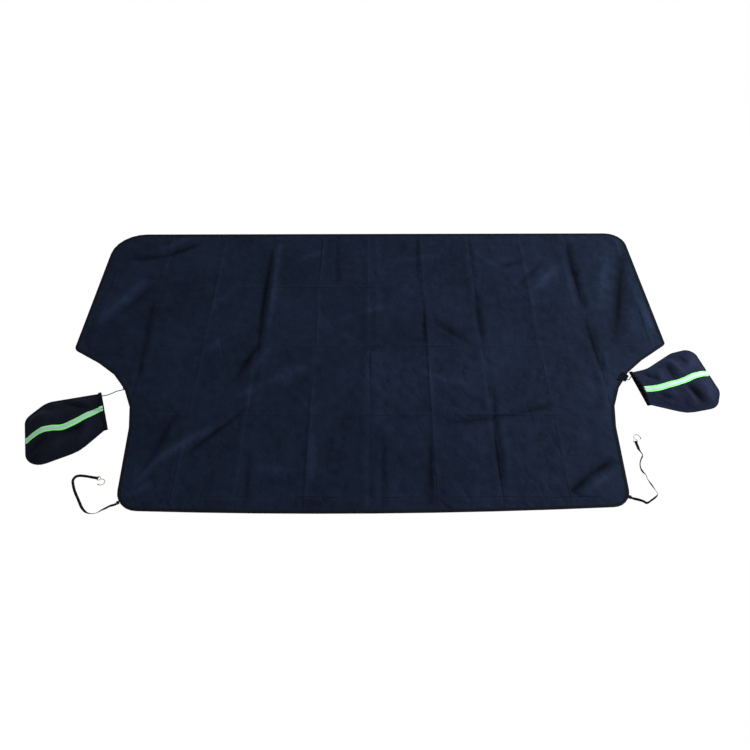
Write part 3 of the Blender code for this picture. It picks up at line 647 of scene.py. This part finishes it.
def bag_relief(side, points):
    """Underside of the upper panel over (along, across) points of one bag."""
    outline = rounded_outline(BAG_CORNERS[side])
    from_seam = line_distance(points, outline, closed=False) - BAG_FLANGE
    shoulder = np.clip(from_seam / BAG_SHOULDER, 0.0, 1.0)
    dome = 1 - (1 - shoulder) ** 2
    towards_mouth = 1 - smooth_step(points[:, 0] / MOUTH_REACH)
    rise = BAG_RISE + (MOUTH_RISE - BAG_RISE) * towards_mouth
    gather = np.clip(1 - points[:, 0] / 0.060, 0.0, 1.0) ** 1.3
    pleat = np.sin(2 * math.pi * points[:, 1] / 0.0150 + 3.0 * np.sin(40.0 * points[:, 1]))
    folds = wrinkle_relief(points, BAG_WRINKLES[side]) * smooth_step(shoulder * 4)
    crumple = np.sin(95.0 * points[:, 0] + 60.0 * points[:, 1]) * np.sin(80.0 * points[:, 1] - 45.0 * points[:, 0])
    soft = smooth_step(shoulder * 3)
    height = dome * rise + 0.0024 * gather * pleat * soft + folds + 0.0007 * crumple * soft
    return BAG_CLOTH + BAG_GAP + np.maximum(height, 0.0)


# %% Bag panels
BAG_CELL = 0.005
bag_panels = {}
for side in SIDES:
    outline = rounded_outline(BAG_CORNERS[side])
    along = np.arange(BAG_CELL, 0.2561, BAG_CELL)
    across = np.arange(-0.125, 0.1401, BAG_CELL)
    bm = flat_cloth(outline, along, across)
    places = plan_of(bm)
    # The wrinkles' relief is also stored per vertex, for the painted highlight on ridges and the painted shade in
    # furrows.
    raise_to(bm, bag_relief(side, places), wrinkle_relief(places, BAG_WRINKLES[side]) / SHADING_HEIGHT)
    bmesh.ops.transform(bm, matrix=bag_matrix(side), verts=bm.verts[:])
    panel = thicken(add_piece(f"bag_cloth_{side}", bm), BAG_CLOTH * 0.8)
    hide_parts(f"mirror_bag_top_{side}")
    bag_panels[side] = panel
    print(f"{side} bag: {len(panel.data.polygons)} cells")

# %% [markdown]
# A reflective tape is sewn across each bag. It is a lime ribbon with a narrower silver strip on it. The tape
# follows the cloth, so a flat grid is laid along the tape's line and dropped onto the bag's surface.

# %% Reflective tape
TAPE_ROUTE = {
    "right": ((0.000, -0.014), (0.050, -0.021), (0.130, -0.014), (0.182, -0.001), (0.237, 0.012), (0.262, 0.018)),
    "left": ((0.000, 0.004), (0.030, 0.009), (0.110, 0.034), (0.155, 0.024), (0.188, 0.020), (0.250, 0.030)),
}
TAPE_START = {"right": 0.0010, "left": -0.0095}
TAPE_END = {"right": 0.2545, "left": 0.2400}
OVER_HEM = 0.0022
TAPE_LAYERS = (
    # name, replaced node, slot, width, level over the cloth, thickness
    ("lime_ribbon", "lime_tape", "lime_tape", 0.0220, 0.0003, 0.0006),
    ("silver_ribbon", "silver_strip", "silver_strip", 0.0106, 0.0010, 0.0004),
)
ribbons = {}
for side in SIDES:
    centre = smooth_route(TAPE_ROUTE[side], 0.004)
    for name, node, slot, width, level, thickness in TAPE_LAYERS:
        bm = bmesh.new()
        bmesh.ops.create_grid(bm, x_segments=100, y_segments=8, size=0.5)
        weave = bm.verts.layers.float_vector.new("weave")
        spots = plan_of(bm)
        along = TAPE_START[side] + (spots[:, 0] + 0.5) * (TAPE_END[side] - TAPE_START[side])
        across = spots[:, 1] * width
        plan = np.stack([along, np.interp(along, centre[:, 0], centre[:, 1]) + across], axis=1)
        on_bag = np.stack([np.maximum(plan[:, 0], 0.0), plan[:, 1]], axis=1)
        heights = bag_relief(side, on_bag) + BAG_CLOTH * 0.8 + level
        if TAPE_START[side] < 0:
            heights += OVER_HEM * smooth_step((0.005 - along) / 0.005)
        for vert, (u, v), height, offset in zip(bm.verts, plan, heights, across):
            vert.co = (u, v, height)
            vert[weave] = (u, offset, 0.0)
        bmesh.ops.transform(bm, matrix=bag_matrix(side), verts=bm.verts[:])
        bmesh.ops.recalc_face_normals(bm, faces=bm.faces[:])
        ribbon = thicken(add_piece(f"{name}_{side}", bm), thickness)
        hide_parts(f"{node}_{side}")
        ribbons[f"{name}_{side}"] = ribbon
print("ribbons:", sorted(ribbons))

# %% [markdown]
# The mouth is closed by a gathered elastic hem. It is a closed band: an arch over the top and a flat run
# below. The band's outer edge is wavy, because elastic pulls the cloth into scallops.

# %% Elastic hem of the bags
HEM_WIDTH = 0.0100
HEM_THICKNESS = 0.0018
HEM_FOLD_RADIUS = 0.0022
HEM_STEPS = 72
SCALLOP = 0.0022
SCALLOP_PITCH = 0.0180
hems = {}
for side in SIDES:
    half = abs(BAG_CORNERS[side][0][1])
    low = HEM_THICKNESS / 2 + 0.0001
    across = np.linspace(-half, half, HEM_STEPS + 1)[1:-1]
    arch = bag_relief(side, np.stack([np.zeros(len(across)), across], axis=1))
    arch = np.maximum(arch, low + 2 * HEM_FOLD_RADIUS)
    turn = np.linspace(-math.pi / 2, math.pi / 2, 9)
    right_fold = [(half + HEM_FOLD_RADIUS * math.cos(a), low + HEM_FOLD_RADIUS * (1 + math.sin(a))) for a in turn]
    above = list(zip(across[::-1], arch[::-1]))
    below = [(v, low) for v in np.linspace(-half, half, 25)[1:-1]]
    ring = [*right_fold, *above, *[(-v, height) for v, height in right_fold[::-1]], *below]
    bm = bmesh.new()
    verts = [bm.verts.new((-0.0003, v, height)) for v, height in ring]
    rim = [bm.edges.new((vert, verts[index - 1])) for index, vert in enumerate(verts)]
    for step in range(1, 5):
        made = bmesh.ops.extrude_edge_only(bm, edges=rim)["geom"]
        fresh = [item for item in made if isinstance(item, bmesh.types.BMVert)]
        rim = [item for item in made if isinstance(item, bmesh.types.BMEdge) and set(item.verts) <= set(fresh)]
        bmesh.ops.translate(bm, vec=(-HEM_WIDTH / 4, 0.0, 0.0), verts=fresh)
        for vert in fresh:
            if vert.co.z > low + HEM_FOLD_RADIUS:
                vert.co.z += SCALLOP * math.sin(2 * math.pi * vert.co.y / SCALLOP_PITCH) * step / 4
                vert.co.x += SCALLOP * 0.6 * (1 + math.cos(2 * math.pi * vert.co.y / SCALLOP_PITCH)) * step / 4
    bmesh.ops.recalc_face_normals(bm, faces=bm.faces[:])
    bmesh.ops.transform(bm, matrix=bag_matrix(side), verts=bm.verts[:])
    hem = thicken(add_piece(f"gathered_hem_{side}", bm), HEM_THICKNESS, 0.0)
    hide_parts(f"mouth_hem_{side}")
    hems[side] = hem
print("hems:", sorted(hems))

# %% [markdown]
# The stage is a wide white floor. The picture's background is plain white, so camera rays see the floor as
# almost pure light, while every other ray sees ordinary white paint, which keeps a faint shadow of the cover.

# %% Floor, world and lamps
bm = bmesh.new()
bmesh.ops.create_grid(bm, x_segments=1, y_segments=1, size=15.0)
floor_mesh = bpy.data.meshes.new("floor")
bm.to_mesh(floor_mesh)
bm.free()
floor = bpy.data.objects.new("floor", floor_mesh)
bpy.context.scene.collection.objects.link(floor)
FLOOR_GLOW = 0.97


def seen_directly(tree):
    """A value that is 1 for camera, mirror and glass rays."""
    path = tree.nodes.new("ShaderNodeLightPath")
    total = path.outputs["Is Camera Ray"]
    for name in ("Is Glossy Ray", "Is Transmission Ray"):
        most = tree.nodes.new("ShaderNodeMath")
        most.operation = "MAXIMUM"
        tree.links.new(total, most.inputs[0])
        tree.links.new(path.outputs[name], most.inputs[1])
        total = most.outputs[0]
    return total


floor_paint = bpy.data.materials.new("white studio floor")
floor_paint.use_nodes = True
tree = floor_paint.node_tree
paint = tree.nodes["Principled BSDF"]
paint.inputs["Base Color"].default_value = (0.9, 0.9, 0.9, 1.0)
paint.inputs["Roughness"].default_value = 0.9
glow = tree.nodes.new("ShaderNodeEmission")
glow.inputs["Strength"].default_value = 1.015
share = tree.nodes.new("ShaderNodeMath")
share.operation = "MULTIPLY"
share.inputs[1].default_value = FLOOR_GLOW
blend = tree.nodes.new("ShaderNodeMixShader")
tree.links.new(seen_directly(tree), share.inputs[0])
tree.links.new(share.outputs[0], blend.inputs["Fac"])
tree.links.new(paint.outputs["BSDF"], blend.inputs[1])
tree.links.new(glow.outputs["Emission"], blend.inputs[2])
tree.links.new(blend.outputs["Shader"], tree.nodes["Material Output"].inputs["Surface"])
floor_mesh.materials.append(floor_paint)

WORLD_LIGHT = 0.40
world = bpy.data.worlds.new("white room")
bpy.context.scene.world = world
world.use_nodes = True
tree = world.node_tree
room = tree.nodes["Background"]
room.inputs["Color"].default_value = (1.0, 1.0, 1.0, 1.0)
room.inputs["Strength"].default_value = WORLD_LIGHT
white = tree.nodes.new("ShaderNodeBackground")
white.inputs["Color"].default_value = (1.0, 1.0, 1.0, 1.0)
blend = tree.nodes.new("ShaderNodeMixShader")
tree.links.new(seen_directly(tree), blend.inputs["Fac"])
tree.links.new(room.outputs["Background"], blend.inputs[1])
tree.links.new(white.outputs["Background"], blend.inputs[2])
tree.links.new(blend.outputs["Shader"], tree.nodes["World Output"].inputs["Surface"])

LAMPS = (
    # name, place, size, power, colour
    ("window at the right", (2.2, 0.35, 1.5), 1.2, 62.0, (1.0, 1.0, 1.0)),
    ("soft light overhead", (0.3, -0.5, 3.2), 2.4, 20.0, (1.0, 1.0, 1.0)),
)
for name, place, size, power, colour in LAMPS:
    data = bpy.data.lights.new(name, "AREA")
    data.size = size
    data.energy = power
    data.color = colour
    lamp = bpy.data.objects.new(name, data)
    lamp.location = place
    lamp.rotation_euler = (-Vector(place)).to_track_quat("-Z", "Y").to_euler()
    bpy.context.scene.collection.objects.link(lamp)
bpy.context.scene.view_settings.view_transform = "Standard"
print("lamps:", len(LAMPS))

# %% [markdown]
# Every finish is built from three shared effects. Woven threads give the fine relief of cloth, with warp and weft as
# two crossed waves. Uneven dye is a soft mottling of the colour. The third is painted shade at the packing folds: a
# thin dark line with a pale painted highlight beside it, which wander and fade, because a fold never keeps the same
# sharpness along its whole length.

# %% Shared effects as node groups
def new_group(name, inputs, outputs):
    group = bpy.data.node_groups.new(name, "ShaderNodeTree")
    for socket, kind, value in inputs:
        made = group.interface.new_socket(name=socket, in_out="INPUT", socket_type=kind)
        if value is not None:
            made.default_value = value
    for socket, kind in outputs:
        group.interface.new_socket(name=socket, in_out="OUTPUT", socket_type=kind)
    return group, group.nodes.new("NodeGroupInput"), group.nodes.new("NodeGroupOutput")


def math_node(tree, operation, first, second=None, third=None):
    node = tree.nodes.new("ShaderNodeMath")
    node.operation = operation
    for socket, value in zip(node.inputs, (first, second, third)):
        if value is None:
            continue
        if isinstance(value, (int, float)):
            socket.default_value = value
        else:
            tree.links.new(value, socket)
    return node.outputs[0]


def noise_node(tree, vector, scale, detail=3.0, roughness=0.55):
    node = tree.nodes.new("ShaderNodeTexNoise")
    node.inputs["Scale"].default_value = scale
    node.inputs["Detail"].default_value = detail
    node.inputs["Roughness"].default_value = roughness
    tree.links.new(vector, node.inputs["Vector"])
    return node.outputs["Fac"]


FLOAT, VECTOR, COLOUR = "NodeSocketFloat", "NodeSocketVector", "NodeSocketColor"

threads, ins, outs = new_group(
    "woven threads",
    (("Vector", VECTOR, None), ("Threads per metre", FLOAT, 900.0), ("Slub", FLOAT, 0.25)),
    (("Height", FLOAT), ("Shade", FLOAT)),
)
split = threads.nodes.new("ShaderNodeSeparateXYZ")
threads.links.new(ins.outputs["Vector"], split.inputs["Vector"])
turns = math_node(threads, "MULTIPLY", ins.outputs["Threads per metre"], 2 * math.pi)
warp = math_node(threads, "SINE", math_node(threads, "MULTIPLY", split.outputs["X"], turns))
weft = math_node(threads, "SINE", math_node(threads, "MULTIPLY", split.outputs["Y"], turns))
crossing = math_node(threads, "MULTIPLY", warp, weft)
slub = noise_node(threads, ins.outputs["Vector"], 260.0, 2.0)
slub = math_node(threads, "MULTIPLY", math_node(threads, "SUBTRACT", slub, 0.5), ins.outputs["Slub"])
height = math_node(threads, "ADD", math_node(threads, "MULTIPLY_ADD", crossing, 0.25, 0.5), slub)
threads.links.new(height, outs.inputs["Height"])
threads.links.new(math_node(threads, "MULTIPLY_ADD", height, 0.5, 0.75), outs.inputs["Shade"])

dye, ins, outs = new_group(
    "uneven dye",
    (("Vector", VECTOR, None), ("Colour", COLOUR, (0.5, 0.5, 0.5, 1.0)), ("Strength", FLOAT, 0.25)),
    (("Colour", COLOUR), ("Mottle", FLOAT)),
)
broad = noise_node(dye, ins.outputs["Vector"], 3.5, 4.0, 0.6)
close = noise_node(dye, ins.outputs["Vector"], 26.0, 4.0, 0.65)
mottle = math_node(dye, "ADD", math_node(dye, "MULTIPLY", broad, 0.55), math_node(dye, "MULTIPLY", close, 0.45))
shift = math_node(dye, "MULTIPLY", math_node(dye, "SUBTRACT", mottle, 0.5), ins.outputs["Strength"])
lightness = math_node(dye, "MULTIPLY_ADD", shift, 4.0, 1.0)
scaled = dye.nodes.new("ShaderNodeVectorMath")
scaled.operation = "SCALE"
dye.links.new(ins.outputs["Colour"], scaled.inputs[0])
dye.links.new(lightness, scaled.inputs["Scale"])
dye.links.new(scaled.outputs["Vector"], outs.inputs["Colour"])
dye.links.new(mottle, outs.inputs["Mottle"])

# Painted shade: a dark line along each packing fold, with a painted highlight beside it.
creases, ins, outs = new_group(
    "painted crease shade and highlight",
    (("Vector", VECTOR, None), ("Pitch", FLOAT, FOLD_PITCH), ("Row pitch", FLOAT, 0.297), ("Width", FLOAT, 0.0034)),
    (("Line", FLOAT), ("Highlight beside", FLOAT)),
)
split = creases.nodes.new("ShaderNodeSeparateXYZ")
creases.links.new(ins.outputs["Vector"], split.inputs["Vector"])
wander = noise_node(creases, ins.outputs["Vector"], 7.0, 3.0)
wander = math_node(creases, "MULTIPLY_ADD", wander, 0.010, -0.005)
masks = []
for axis, pitch, start, width in (("X", "Pitch", 0.0, 1.0), ("Y", "Row pitch", FOLD_ROWS[1], 0.8)):
    place = math_node(creases, "ADD", math_node(creases, "SUBTRACT", split.outputs[axis], start), wander)
    turn = math_node(creases, "DIVIDE", place, ins.outputs[pitch])
    nearest = math_node(creases, "SUBTRACT", turn, math_node(creases, "ROUND", turn))
    away = math_node(creases, "MULTIPLY", math_node(creases, "ABSOLUTE", nearest), ins.outputs[pitch])
    share = math_node(creases, "DIVIDE", away, math_node(creases, "MULTIPLY", ins.outputs["Width"], width))
    masks.append(share)
fades = [noise_node(creases, ins.outputs["Vector"], scale, 3.0, 0.6) for scale in (5.0, 6.3)]
lines, halos = [], []
for share, fade in zip(masks, fades):
    fade = math_node(creases, "MAXIMUM", math_node(creases, "MULTIPLY_ADD", fade, 4.2, -1.6), 0.0)
    fade = math_node(creases, "MINIMUM", fade, 1.0)
    line = math_node(creases, "MAXIMUM", math_node(creases, "SUBTRACT", 1.0, share), 0.0)
    halo = math_node(creases, "MAXIMUM", math_node(creases, "MULTIPLY_ADD", share, -0.2, 1.0), 0.0)
    lines.append(math_node(creases, "MULTIPLY", line, fade))
    halos.append(math_node(creases, "MULTIPLY", halo, fade))
creases.links.new(math_node(creases, "MAXIMUM", *lines), outs.inputs["Line"])
creases.links.new(math_node(creases, "MAXIMUM", *halos), outs.inputs["Highlight beside"])
print("node groups:", [group.name for group in (threads, dye, creases)])

# %% [markdown]
# A cloth finish joins those effects. The dye gives the colour, the threads and a crumpled noise give the bump. A
# ridge gets a painted highlight and a furrow gets painted shade, from a vertex attribute of the cloth. The left bag
# looks almost black, so its cloth is a darker copy of the right one's: painted shade.

# %% Helper: one finish from the shared effects
def new_finish(name, colour, roughness, specular=0.2, sheen=0.0, metallic=0.0):
    made = bpy.data.materials.new(name)
    made.use_nodes = True
    shader = made.node_tree.nodes["Principled BSDF"]
    shader.inputs["Base Color"].default_value = (*colour, 1.0)
    shader.inputs["Roughness"].default_value = roughness
    shader.inputs["Specular IOR Level"].default_value = specular
    shader.inputs["Sheen Weight"].default_value = sheen
    shader.inputs["Sheen Roughness"].default_value = 0.5
    shader.inputs["Metallic"].default_value = metallic
    made.diffuse_color = (*colour, 1.0)
    return made, made.node_tree, shader


def place_group(tree, group, vector=None, **values):
    node = tree.nodes.new("ShaderNodeGroup")
    node.node_tree = group
    for socket, value in values.items():
        node.inputs[socket.replace("_", " ")].default_value = value
    if vector is not None:
        tree.links.new(vector, node.inputs["Vector"])
    return node


def add_bump(tree, shader, height, distance, strength=1.0, before=None):
    bump = tree.nodes.new("ShaderNodeBump")
    bump.inputs["Strength"].default_value = strength
    bump.inputs["Distance"].default_value = distance
    tree.links.new(height, bump.inputs["Height"])
    if before is not None:
        tree.links.new(before, bump.inputs["Normal"])
    tree.links.new(bump.outputs["Normal"], shader.inputs["Normal"])
    return bump.outputs["Normal"]


def object_places(tree):
    return tree.nodes.new("ShaderNodeTexCoord").outputs["Object"]


CRUMPLE = 0.018


def crumpled_height(tree, places):
    """Soft ridges, with short straight creases between them where a third noise lets them show."""
    ridges = math_node(tree, "ABSOLUTE", math_node(tree, "SUBTRACT", noise_node(tree, places, 11.0, 5.0, 0.52), 0.5))
    cracks = tree.nodes.new("ShaderNodeTexVoronoi")
    cracks.feature = "DISTANCE_TO_EDGE"
    cracks.inputs["Scale"].default_value = 15.0
    tree.links.new(places, cracks.inputs["Vector"])
    line = math_node(tree, "MINIMUM", cracks.outputs["Distance"], 0.12)
    shown = math_node(tree, "MAXIMUM", math_node(tree, "MULTIPLY_ADD", noise_node(tree, places, 4.5), 5.0, -2.4), 0.0)
    return math_node(tree, "MULTIPLY_ADD", line, math_node(tree, "MINIMUM", shown, 1.0), ridges)


def cloth_finish(name, colour, roughness, mottling, thread_count, relief_shading, crease_painted=False):
    made, tree, shader = new_finish(name, colour, roughness, specular=0.03)
    places = object_places(tree)
    dyed = place_group(tree, dye, places, Colour=(*colour, 1.0), Strength=mottling)
    woven = place_group(tree, threads, places, Threads_per_metre=thread_count, Slub=0.5)
    shaded = tree.nodes.new("ShaderNodeVectorMath")
    shaded.operation = "SCALE"
    tree.links.new(dyed.outputs["Colour"], shaded.inputs[0])
    # Painted highlight on the ridges and painted shade in the furrows, from the relief stored on the cloth.
    relief_shading_node = tree.nodes.new("ShaderNodeAttribute")
    relief_shading_node.attribute_name = "relief_shading"
    ridge_and_furrow_paint = math_node(tree, "MAXIMUM", math_node(tree, "MULTIPLY_ADD", relief_shading_node.outputs["Fac"], relief_shading, 1.0), 0.15)
    lightness = math_node(tree, "MULTIPLY", woven.outputs["Shade"], ridge_and_furrow_paint)
    # Painted shade along the fold lines, with a painted highlight beside them.
    if crease_painted:
        crease_paint_values = place_group(tree, creases, places)
        dark = math_node(tree, "MULTIPLY_ADD", crease_paint_values.outputs["Line"], -0.72, 1.0)
        pale = math_node(tree, "MULTIPLY_ADD", crease_paint_values.outputs["Highlight beside"], 0.26, 1.0)
        lightness = math_node(tree, "MULTIPLY", lightness, math_node(tree, "MULTIPLY", dark, pale))
    tree.links.new(lightness, shaded.inputs["Scale"])
    tree.links.new(shaded.outputs["Vector"], shader.inputs["Base Color"])
    soft = add_bump(tree, shader, crumpled_height(tree, places), CRUMPLE)
    add_bump(tree, shader, woven.outputs["Height"], 0.0002, 0.6, before=soft)
    return made


navy_cloth = cloth_finish("navy oxford cloth", (0.0077, 0.0128, 0.0272), 0.80, 0.58, 620.0, 0.85, crease_painted=True)
bag_finishes = {
    "right": cloth_finish("navy bag cloth", (0.0095, 0.0135, 0.0300), 0.78, 0.40, 700.0, 0.75),
    # The left bag's cloth is the same navy made darker: painted shade.
    "left": cloth_finish("navy bag cloth in painted shade", (0.0062, 0.0076, 0.0150), 0.78, 0.40, 700.0, 0.75),
}
print("cloth finishes:", [navy_cloth.name, *(finish.name for finish in bag_finishes.values())])

# %% [markdown]
# The black trims are ribbed. Binding tape and hem have fine ribs across the edge, which a pair of crossed
# waves shows well enough. Elastic has long ribs, and these follow the weave attribute of the strap.

# %% Black trims
def trim_finish(name, colour, roughness, thread_count, ribs=None):
    made, tree, shader = new_finish(name, colour, roughness, specular=0.06)
    places = object_places(tree)
    dyed = place_group(tree, dye, places, Colour=(*colour, 1.0), Strength=0.35)
    tree.links.new(dyed.outputs["Colour"], shader.inputs["Base Color"])
    source = places
    if ribs is not None:
        source = tree.nodes.new("ShaderNodeAttribute")
        source.attribute_name = "weave"
        source = source.outputs["Vector"]
    woven = place_group(tree, threads, source, Threads_per_metre=thread_count, Slub=0.4)
    add_bump(tree, shader, woven.outputs["Height"], 0.0003, 0.8)
    return made


binding_finish = trim_finish("black binding tape", (0.0052, 0.0064, 0.0100), 0.85, 450.0)
hem_finish = trim_finish("black gathered hem", (0.0045, 0.0050, 0.0075), 0.88, 600.0)
elastic_finish = trim_finish("black ribbed elastic", (0.0042, 0.0040, 0.0040), 0.8, 750.0, ribs=True)
plain_elastic = trim_finish("black sewn elastic", (0.0042, 0.0040, 0.0040), 0.8, 750.0)
thread_finish = trim_finish("black sewing thread", (0.006, 0.006, 0.009), 0.6, 2500.0)

# %% [markdown]
# The ribbon is dyed a bright lime, close to a marker pen, and it is woven coarsely. The silver strip is made
# of tiny glass beads that throw light back, so it looks pale grey with a fine grain and a slight gloss.

# %% Reflective ribbons
LIME = (0.27, 0.98, 0.24)
lime_finish, tree, shader = new_finish("lime woven ribbon", LIME, 0.55, specular=0.3)
weave = tree.nodes.new("ShaderNodeAttribute")
weave.attribute_name = "weave"
woven = place_group(tree, threads, weave.outputs["Vector"], Threads_per_metre=500.0, Slub=0.5)
dyed = place_group(tree, dye, weave.outputs["Vector"], Colour=(*LIME, 1.0), Strength=0.12)
shaded = tree.nodes.new("ShaderNodeVectorMath")
shaded.operation = "SCALE"
tree.links.new(dyed.outputs["Colour"], shaded.inputs[0])
tree.links.new(woven.outputs["Shade"], shaded.inputs["Scale"])
tree.links.new(shaded.outputs["Vector"], shader.inputs["Base Color"])
add_bump(tree, shader, woven.outputs["Height"], 0.0002)

SILVER = (0.42, 0.57, 0.58)
silver_finish, tree, shader = new_finish("silver beaded strip", SILVER, 0.42, specular=0.25)
weave = tree.nodes.new("ShaderNodeAttribute")
weave.attribute_name = "weave"
beads = tree.nodes.new("ShaderNodeTexVoronoi")
beads.inputs["Scale"].default_value = 900.0
tree.links.new(weave.outputs["Vector"], beads.inputs["Vector"])
dyed = place_group(tree, dye, weave.outputs["Vector"], Colour=(*SILVER, 1.0), Strength=0.2)
tree.links.new(dyed.outputs["Colour"], shader.inputs["Base Color"])
grain = math_node(tree, "MULTIPLY_ADD", beads.outputs["Distance"], 0.25, 0.33)
tree.links.new(grain, shader.inputs["Roughness"])
add_bump(tree, shader, beads.outputs["Distance"], 0.0001, 0.5)

# %% [markdown]
# The hooks are bent steel wire with a thin plating. The plating is duller and browner where it has been
# handled, and the dipped tip is dark plastic with a slight orange peel.

# %% Hook finishes
def wire_finish_of(name, plated, handled):
    made, tree, shader = new_finish(name, plated, 0.3, specular=0.5, metallic=1.0)
    places = object_places(tree)
    patches = noise_node(tree, places, 120.0, 4.0)
    blend = tree.nodes.new("ShaderNodeMix")
    blend.data_type = "RGBA"
    blend.inputs["A"].default_value = (*plated, 1.0)
    blend.inputs["B"].default_value = (*handled, 1.0)
    tree.links.new(patches, blend.inputs["Factor"])
    tree.links.new(blend.outputs["Result"], shader.inputs["Base Color"])
    tree.links.new(math_node(tree, "MULTIPLY_ADD", patches, 0.3, 0.2), shader.inputs["Roughness"])
    add_bump(tree, shader, noise_node(tree, places, 900.0, 2.0), 0.00005)
    return made


wire_finishes = {
    "right": wire_finish_of("steel hook wire", (0.30, 0.29, 0.28), (0.13, 0.12, 0.11)),
    "left": wire_finish_of("coppery hook wire", (0.32, 0.20, 0.11), (0.13, 0.07, 0.035)),
}
tip_finish, tree, shader = new_finish("dipped plastic tip", (0.035, 0.025, 0.022), 0.45, specular=0.4)
places = object_places(tree)
dyed = place_group(tree, dye, places, Colour=(0.035, 0.025, 0.022, 1.0), Strength=0.3)
tree.links.new(dyed.outputs["Colour"], shader.inputs["Base Color"])
add_bump(tree, shader, noise_node(tree, places, 700.0, 2.0), 0.0001)

# %% [markdown]
# At last every piece gets its finish. Solids of the frame that stay in view take theirs in the same way.

# %% Dress the cover
def dress(piece, finish):
    piece.data.materials.clear()
    piece.data.materials.append(finish)


dress(cloth_sheet, navy_cloth)
dress(binding_stitches, thread_finish)
dress(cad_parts["edge_binding"], binding_finish)
for side in SIDES:
    dress(tethers[side], elastic_finish)
    dress(straps[side][0], elastic_finish)
    dress(bag_panels[side], bag_finishes[side])
    dress(hems[side], hem_finish)
    dress(ribbons[f"lime_ribbon_{side}"], lime_finish)
    dress(ribbons[f"silver_ribbon_{side}"], silver_finish)
    dress(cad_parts[f"mirror_bag_bottom_{side}"], bag_finishes[side])
    dress(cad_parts[f"tether_tab_{side}"], binding_finish)
    dress(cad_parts[f"strap_anchor_{side}"], plain_elastic)
    dress(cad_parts[f"strap_loop_{side}"], plain_elastic)
    dress(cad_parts[f"hook_{side}"], wire_finishes[side])
    dress(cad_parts[f"hook_tip_{side}"], tip_finish)
